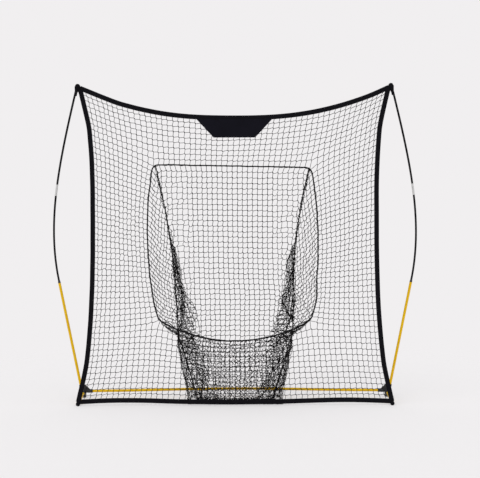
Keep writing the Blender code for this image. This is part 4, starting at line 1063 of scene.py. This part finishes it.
SEAM_DROP = 0.12
SEAM_RADIUS = 0.0033
SEAM_RING = 0.0065
SEAM_LASHINGS = 58
CHEEK_ROWS = 10
CHEEK_SAG = 0.020
CHEEK_WAVE = (0.006, 0.006, 0.009)
EDGE_RADIUS = 0.0030
EDGE_LOOP = (0.400, 0.500)
EDGE_LIFT = 0.022
EDGE_PAST = 0.02
EDGE_WAVE = (0.0008, 0.0005, 0.0012)
FRONT_COLUMNS = 31
FRONT_ROWS = 17
FRONT_WAVE = (0.013, 0.006, 0.012)
FLOOR_ROWS = 6
FLOOR_WAVE = (0.006, 0.006, 0.010)
FRONT_DEPTHS = (0.050, 0.010)
FRONT_HEIGHTS = (0, 0.11, 0.20, 0.30, 0.41)
FRONT_HALVES = (0.314, 0.326, 0.350, 0.369, 0.386)

seam_lines = {tag: smooth_line(line_of(f"seam_cord_{tag}", SEAM_RING), 400) for tag in SIDES}
front_top = evenly(rope_low[CORNER_CELLS:-CORNER_CELLS], FRONT_COLUMNS + 1)
mouth_top_height = rope_high[mouth_columns // 2][2]
row_heights = np.linspace(ground, mouth_top_height, POCKET_ROWS + 1)


def seam_at(tag, height):
    line = seam_lines[tag]
    return np.array([np.interp(height, line[:, 2], line[:, k]) for k in range(2)] + [height])


def clean_half(height):
    """Half width of the flat middle of the pocket's back at a height."""
    return float(np.interp(height, CLEAN_HEIGHTS, CLEAN_HALVES))


def spare_fabric(height):
    """How much of one side's back lies in folds at a height, measured along the netting."""
    gap = abs(seam_at("right", height)[0]) - clean_half(height)
    slack = float(np.interp(height, FOLD_SLACK_HEIGHTS, FOLD_SLACK))
    return max(gap, LEAST_FOLD) * FOLD_PASSES * slack


def back_knot(number, height):
    """A knot of the pocket's back, in its flat middle or in a fold, or none past the seam."""
    tag, side = ("left", -1) if number < 0 else ("right", 1)
    seam = seam_at(tag, height)
    reach = abs(seam[0])
    clean = min(clean_half(height), reach - LEAST_FOLD)
    fabric = abs(number) * BACK_PITCH
    spare = spare_fabric(height)
    x, depth, lowered = side * fabric, 0, 0
    if fabric >= clean + spare + BACK_PITCH:
        return np.nan, np.nan, np.nan
    if fabric > clean:
        share = min((fabric - clean) / spare, 1)
        wander = drift([(fabric * 0.9, side * 3.0, height)], 0.12, 47)[0]
        at = FOLD_PASSES * share
        phase = at + FOLD_WANDER * wander[0] * min(1, at / 0.8, (FOLD_PASSES - at) / 0.8)
        inner = (FOLD_IN[0] + FOLD_IN[1] * wander[1]) * math.sin(math.pi * share)
        out = inner + (1 - inner) * (1 - abs(phase % 2 - 1))
        x = side * (clean + (reach - clean) * out)
        depth = FOLD_DEPTH * math.sin(math.pi * share) ** 0.7 * min(
            1, (reach - clean) / FOLD_TAPER)
        lowered = row_heights[1] * share
    near_top = min(1, (mouth_top_height - height) / TOP_TAPER)
    belly = BACK_BELLY * (1 - (x / seam[0]) ** 2) * near_top
    return x, seam[1] + belly - depth, height - lowered


half_columns = int(max(clean_half(h) + spare_fabric(h) for h in row_heights) / BACK_PITCH) + 1
columns = np.arange(-half_columns, half_columns + 1)
back = np.full((len(columns), POCKET_ROWS + 1, 3), np.nan)
back[:, :-1] = [[back_knot(number, height) for height in row_heights[:-1]] for number in columns]
back = hung(back)
back[..., 2] -= BACK_SLOPE * back[..., 0] * np.interp(row_heights, BACK_SLOPE_HEIGHTS, (0, 1, 0))
seam_lines = {tag: hung(line) for tag, line in seam_lines.items()}
back[half_columns - mouth_columns // 2:half_columns + mouth_columns // 2 + 1, -1] = rope_high
loose = np.clip((np.abs(columns) - CLEAN_COLUMNS + 1) / 4, 0, 1)[:, None, None]
calm = np.linspace(1, 0.2, POCKET_ROWS + 1)[None, :, None]
calm[:, -1] = 0
spots = back + np.arange(len(columns))[:, None, None] * (0.02, 0.013, 0)
back += drift(spots, 0.075, 41) * calm * (BACK_TOSS + loose * FOLD_TOSS)
scattered = np.random.default_rng(44).normal(size=back.shape)
back += scattered * calm * (BACK_SCATTER + loose * FOLD_SCATTER)
knitted("pocket_back", [back[half_columns - CLEAN_COLUMNS:half_columns + CLEAN_COLUMNS + 1]], 51,
        "pocket", hang=(0, 0, -1), natural=BACK_PITCH, stray=0.35, radius=BACK_TWINE)


def front_half(height):
    """Half width of the pocket's front at a height, between the ground and the mouth."""
    top = front_top[-1]
    return float(np.interp(height, (*FRONT_HEIGHTS, top[2]), (*FRONT_HALVES, top[0])))


def front_y(share):
    """How far back the pocket's front lies, from its foot to the mouth."""
    return NET_Y + FRONT_DEPTHS[0] + (FRONT_DEPTHS[1] - FRONT_DEPTHS[0]) * math.sqrt(share)


def fold_edge(axis, number, k):
    """The column that a fold shares with the flat middle, which already has its strands."""
    return axis == 1 and number == 0


for tag, side, rope_side, rope_base in (("left", -1, rope_left, rope_low),
                                        ("right", 1, rope_right, rope_low[::-1])):
    fold = back[::side][half_columns + CLEAN_COLUMNS:]
    knitted(f"pocket_fold_{tag}", [fold], 70 + side, hang=(0, 0, -1.0), skip=fold_edge)

    starts = np.vstack([rope_base[1:CORNER_CELLS + 1][::-1], rope_side])
    share = np.arange(len(rope_side)) / mouth_rows
    drops = CORNER_DROP[1] * (1 - share) + SEAM_DROP * np.sin(math.pi * share)
    drops = np.concatenate([np.linspace(*CORNER_DROP, CORNER_CELLS, endpoint=False), drops])
    ends = np.array([seam_at(tag, height) for height in starts[:, 2] - drops])
    widths = np.linalg.norm(ends - starts, axis=1)
    gusset = np.full((SIDE_CELLS + 1, len(starts), 3), np.nan)
    for row, (start, end) in enumerate(zip(starts, ends)):
        step = widths.max() / SIDE_CELLS / max(widths[row], 0.001)
        places = np.arange(SIDE_CELLS + 1)[:, None] * step
        held = places[:, 0] < 1 + 0.9 * step
        places = np.minimum(places, 1)
        line = start + (end - start) * places
        line[:, 2] -= SIDE_SAG * np.sin(math.pi * places[:, 0])
        gusset[held, row] = line[held]
    gusset[1:] += drift(gusset[1:], 0.2, 80 + side) * SIDE_WAVE

    rim = gusset[~np.isnan(gusset[:, 0, 0]), 0]
    path = np.linspace(0, 1, len(rim))[:, None]
    cheek = np.zeros((len(rim), CHEEK_ROWS + 1, 3))
    for row in range(CHEEK_ROWS + 1):
        share = row / CHEEK_ROWS
        height = ground + (rim[0, 2] - ground) * share
        start = np.array([side * front_half(height), front_y(share), height])
        end = seam_at(tag, ground + (rim[-1, 2] - ground) * share)
        cheek[:, row] = start + (end - start) * path
        cheek[:, row, 2] -= CHEEK_SAG * np.sin(math.pi * path[:, 0]) * min(1, height / 0.1)
    cheek += drift(cheek, 0.09, 90 + side) * CHEEK_WAVE
    cheek[:, -1] = rim
    knitted(f"pocket_side_{tag}", [gusset, cheek], 75 + side, hang=(0, 0, -0.8))
    seam = seam_lines[tag]
    round_cord(f"pocket_seam_{tag}", seam, SEAM_RADIUS, "mouth_rope", f"seam_cord_{tag}")
    lashed(f"pocket_lashings_{tag}", evenly(seam, SEAM_LASHINGS + 2)[1:-1], seam, SEAM_RADIUS)

out = np.abs(rope_low[:, 0])
lift = np.clip((out - EDGE_LOOP[0]) / (EDGE_LOOP[1] - EDGE_LOOP[0]), 0, 1)
edge_line = rope_low + (0, EDGE_RADIUS, -EDGE_RADIUS)
edge_line[:, 2] += EDGE_LIFT * np.sin(math.pi * lift)
edge_line = smooth_line(edge_line[out < EDGE_LOOP[1] + EDGE_PAST], 260)
edge_line += drift(edge_line, 0.05, 61) * EDGE_WAVE
round_cord("pocket_edge_cord", edge_line, EDGE_RADIUS, "mouth_rope")

front = np.zeros((len(front_top), FRONT_ROWS + 1, 3))
across = np.linspace(-1, 1, len(front_top))
top_half = front_half(front_top[0][2])
for row in range(FRONT_ROWS + 1):
    share = row / FRONT_ROWS
    half = front_half(front_top[0][2] * share)
    front[:, row, 0] = across * half + (front_top[:, 0] - across * top_half) * share
    front[:, row, 1] = front_y(share)
    front[:, row, 2] = ground + (front_top[:, 2] - ground) * share
fading = np.linspace(1, 0, FRONT_ROWS + 1)[None, :, None]
front += drift(front, 0.085, 43) * fading * FRONT_WAVE
heel = seam_at("right", ground)
far = np.column_stack([across * heel[0], np.full(len(across), heel[1]),
                       np.full(len(across), ground)])
share = np.linspace(0, 1, FLOOR_ROWS + 1)[None, :, None]
base = front[:, :1] + (far[:, None] - front[:, :1]) * share
base[:, 1:] += np.abs(drift(base[:, 1:], 0.07, 45)) * FLOOR_WAVE
knitted("pocket_front", [front, base], 55, hang=(0, 0, -1.0))

# ---- rod tip pouches
# A padded webbing pouch slips over each rod's tip. It is turned and hemmed, and a short strap sews
# it to the net's corner.
POUCH_RADIUS = 0.0180
POUCH_NECK = 0.0084
POUCH_LENGTH = 0.066
POUCH_BORE = 0.0112
POUCH_CREASE = 0.0009
POUCH_SHIFT = (-0.004, 0, -0.003)
STRAP_WIDTH = 0.028
STRAP_THICK = 0.0050
STRAP_END = (0.002, 0, -0.004)
DOUBLES = 0.00002
TURNED_CORNER = math.radians(50)


def square_to(axis, hint):
    """Two directions square to an axis and to each other."""
    first = np.cross(axis, hint)
    first /= np.linalg.norm(first)
    return first, np.cross(axis, first)


def turned(name, profile, origin, axis, sides=40, crease=0.0, seed=1):
    """Turns a profile of (radius, height) about an axis, in webbing, with a UV map in metres."""
    first, second = square_to(axis, (0, 1, 0))
    profile = np.asarray(profile, float)
    turns = np.linspace(0, math.tau, sides, endpoint=False)
    middles = origin + profile[:, None, 1:] * axis
    away = profile[:, None, :1] * (np.cos(turns)[None, :, None] * first
                                   + np.sin(turns)[None, :, None] * second)
    rings = middles + away
    rings += away / 0.02 * crease * drift(rings, 0.012, seed)[..., :1]
    faces, coords = [], []
    around = np.linspace(0, math.tau, sides + 1) * profile[:, 0].max()
    run = distances(profile)
    for k in range(len(profile) - 1):
        for a in range(sides):
            b = (a + 1) % sides
            faces.append((k * sides + a, k * sides + b, (k + 1) * sides + b, (k + 1) * sides + a))
            coords += [(around[a], run[k]), (around[a + 1], run[k]),
                       (around[a + 1], run[k + 1]), (around[a], run[k + 1])]
    obj = mesh_object(name, rings, faces, webbing)
    mapped(obj, coords)
    faces_out(obj, DOUBLES)
    obj.data.set_sharp_from_angle(angle=TURNED_CORNER)
    return obj


def arc(radius, start, end, steps):
    """Profile points of an arc, in degrees above the equator."""
    return [(max(radius * math.cos(a), 0), radius * math.sin(a))
            for a in np.radians(np.linspace(start, end, steps))]


def seams_round(name, tip, axis, hint, steps, rings):
    """Rows of fine stitches round a pouch or sleeve, each at a (height, radius) below its tip."""
    first, second = square_to(axis, hint)
    turns = np.linspace(0, math.tau, steps)[:, None]
    stitched(name, [tip - axis * height + (np.cos(turns) * first + np.sin(turns) * second) * radius
                    for height, radius in rings], "black_webbing", **FINE_STITCH)


pouch_outline = arc(POUCH_RADIUS, 90, 0, 10) + [
    (POUCH_RADIUS + 0.0002, -0.006), (0.0168, -0.015), (0.0140, -0.026), (0.0112, -0.036),
    (POUCH_NECK + 0.0004, -0.042), (POUCH_NECK, -0.052), (POUCH_NECK + 0.0008, -0.054),
    (POUCH_NECK + 0.0010, -0.060), (POUCH_NECK + 0.0006, -POUCH_LENGTH + 0.0006),
    (POUCH_NECK, -POUCH_LENGTH), (0.0070, -POUCH_LENGTH), (0.0070, -0.030), (0.0110, -0.016)]
pouch_outline += arc(POUCH_BORE, 0, 90, 8)
for tag, side in SIDES.items():
    outwards = np.array([side, 1, 1])
    line = rod_line["upper", tag]
    axis = (line[-1] - line[-4]) / np.linalg.norm(line[-1] - line[-4])
    tip = line[-1] + POUCH_SHIFT * outwards
    pouch = turned(f"rod_pouch_{tag}", pouch_outline, tip, axis, crease=POUCH_CREASE,
                   seed=7 + side)
    corner = (upper_corner + STRAP_END) * outwards
    way = corner - tip
    path = smooth_line([tip + way * 0.15, tip + way * 0.6 + (0, -0.0014, 0), corner], 14)
    strap = sweep("strap", path, pillow(STRAP_WIDTH, STRAP_THICK, 4), webbing)
    with bpy.context.temp_override(active_object=pouch, object=pouch,
                                   selected_objects=[pouch, strap],
                                   selected_editable_objects=[pouch, strap]):
        bpy.ops.object.join()
    settle(pouch, "black_webbing", f"tip_pouch_{tag}")
    seams_round(f"rod_pouch_stitches_{tag}", tip, axis, (0, 1, 0), 25,
                ((0.0555, POUCH_NECK + 0.0010), (0.0085, POUCH_RADIUS + 0.0001)))

# ---- leg tip sleeves
# At each lower corner the net ends in a short closed sleeve of webbing that slips over the leg's
# round end and rests on the ground.
SLEEVE_RADIUS = 0.0146
SLEEVE_LENGTH = 0.048
SLEEVE_BORE = 0.0114
SLEEVE_SEAMS = (0.0385, 0.0435)

sleeve_outline = arc(SLEEVE_RADIUS, 90, 0, 9) + [
    (SLEEVE_RADIUS, -0.020), (SLEEVE_RADIUS - 0.0004, -0.034), (SLEEVE_RADIUS, -0.036),
    (SLEEVE_RADIUS + 0.0002, -0.045), (SLEEVE_RADIUS, -SLEEVE_LENGTH),
    (SLEEVE_BORE + 0.0002, -SLEEVE_LENGTH)] + arc(SLEEVE_BORE, 0, 90, 8)
for tag in SIDES:
    corners = corners_of(f"corner_sleeve_{tag}")
    mean = corners.mean(axis=0)
    ahead = np.linalg.svd(corners - mean, full_matrices=False)[2][0]
    ahead *= -1 if ahead[1] > 0 else 1
    reach = (corners - mean) @ ahead
    tip = mean + ahead * (reach.max() - SLEEVE_RADIUS - 0.0002)
    sleeve = turned(f"leg_sleeve_{tag}", sleeve_outline, tip, ahead)
    settle(sleeve, "black_webbing", f"corner_sleeve_{tag}")
    seams_round(f"leg_sleeve_stitches_{tag}", tip, ahead, (0, 0, 1), 33,
                [(height, SLEEVE_RADIUS + 0.0001) for height in SLEEVE_SEAMS])
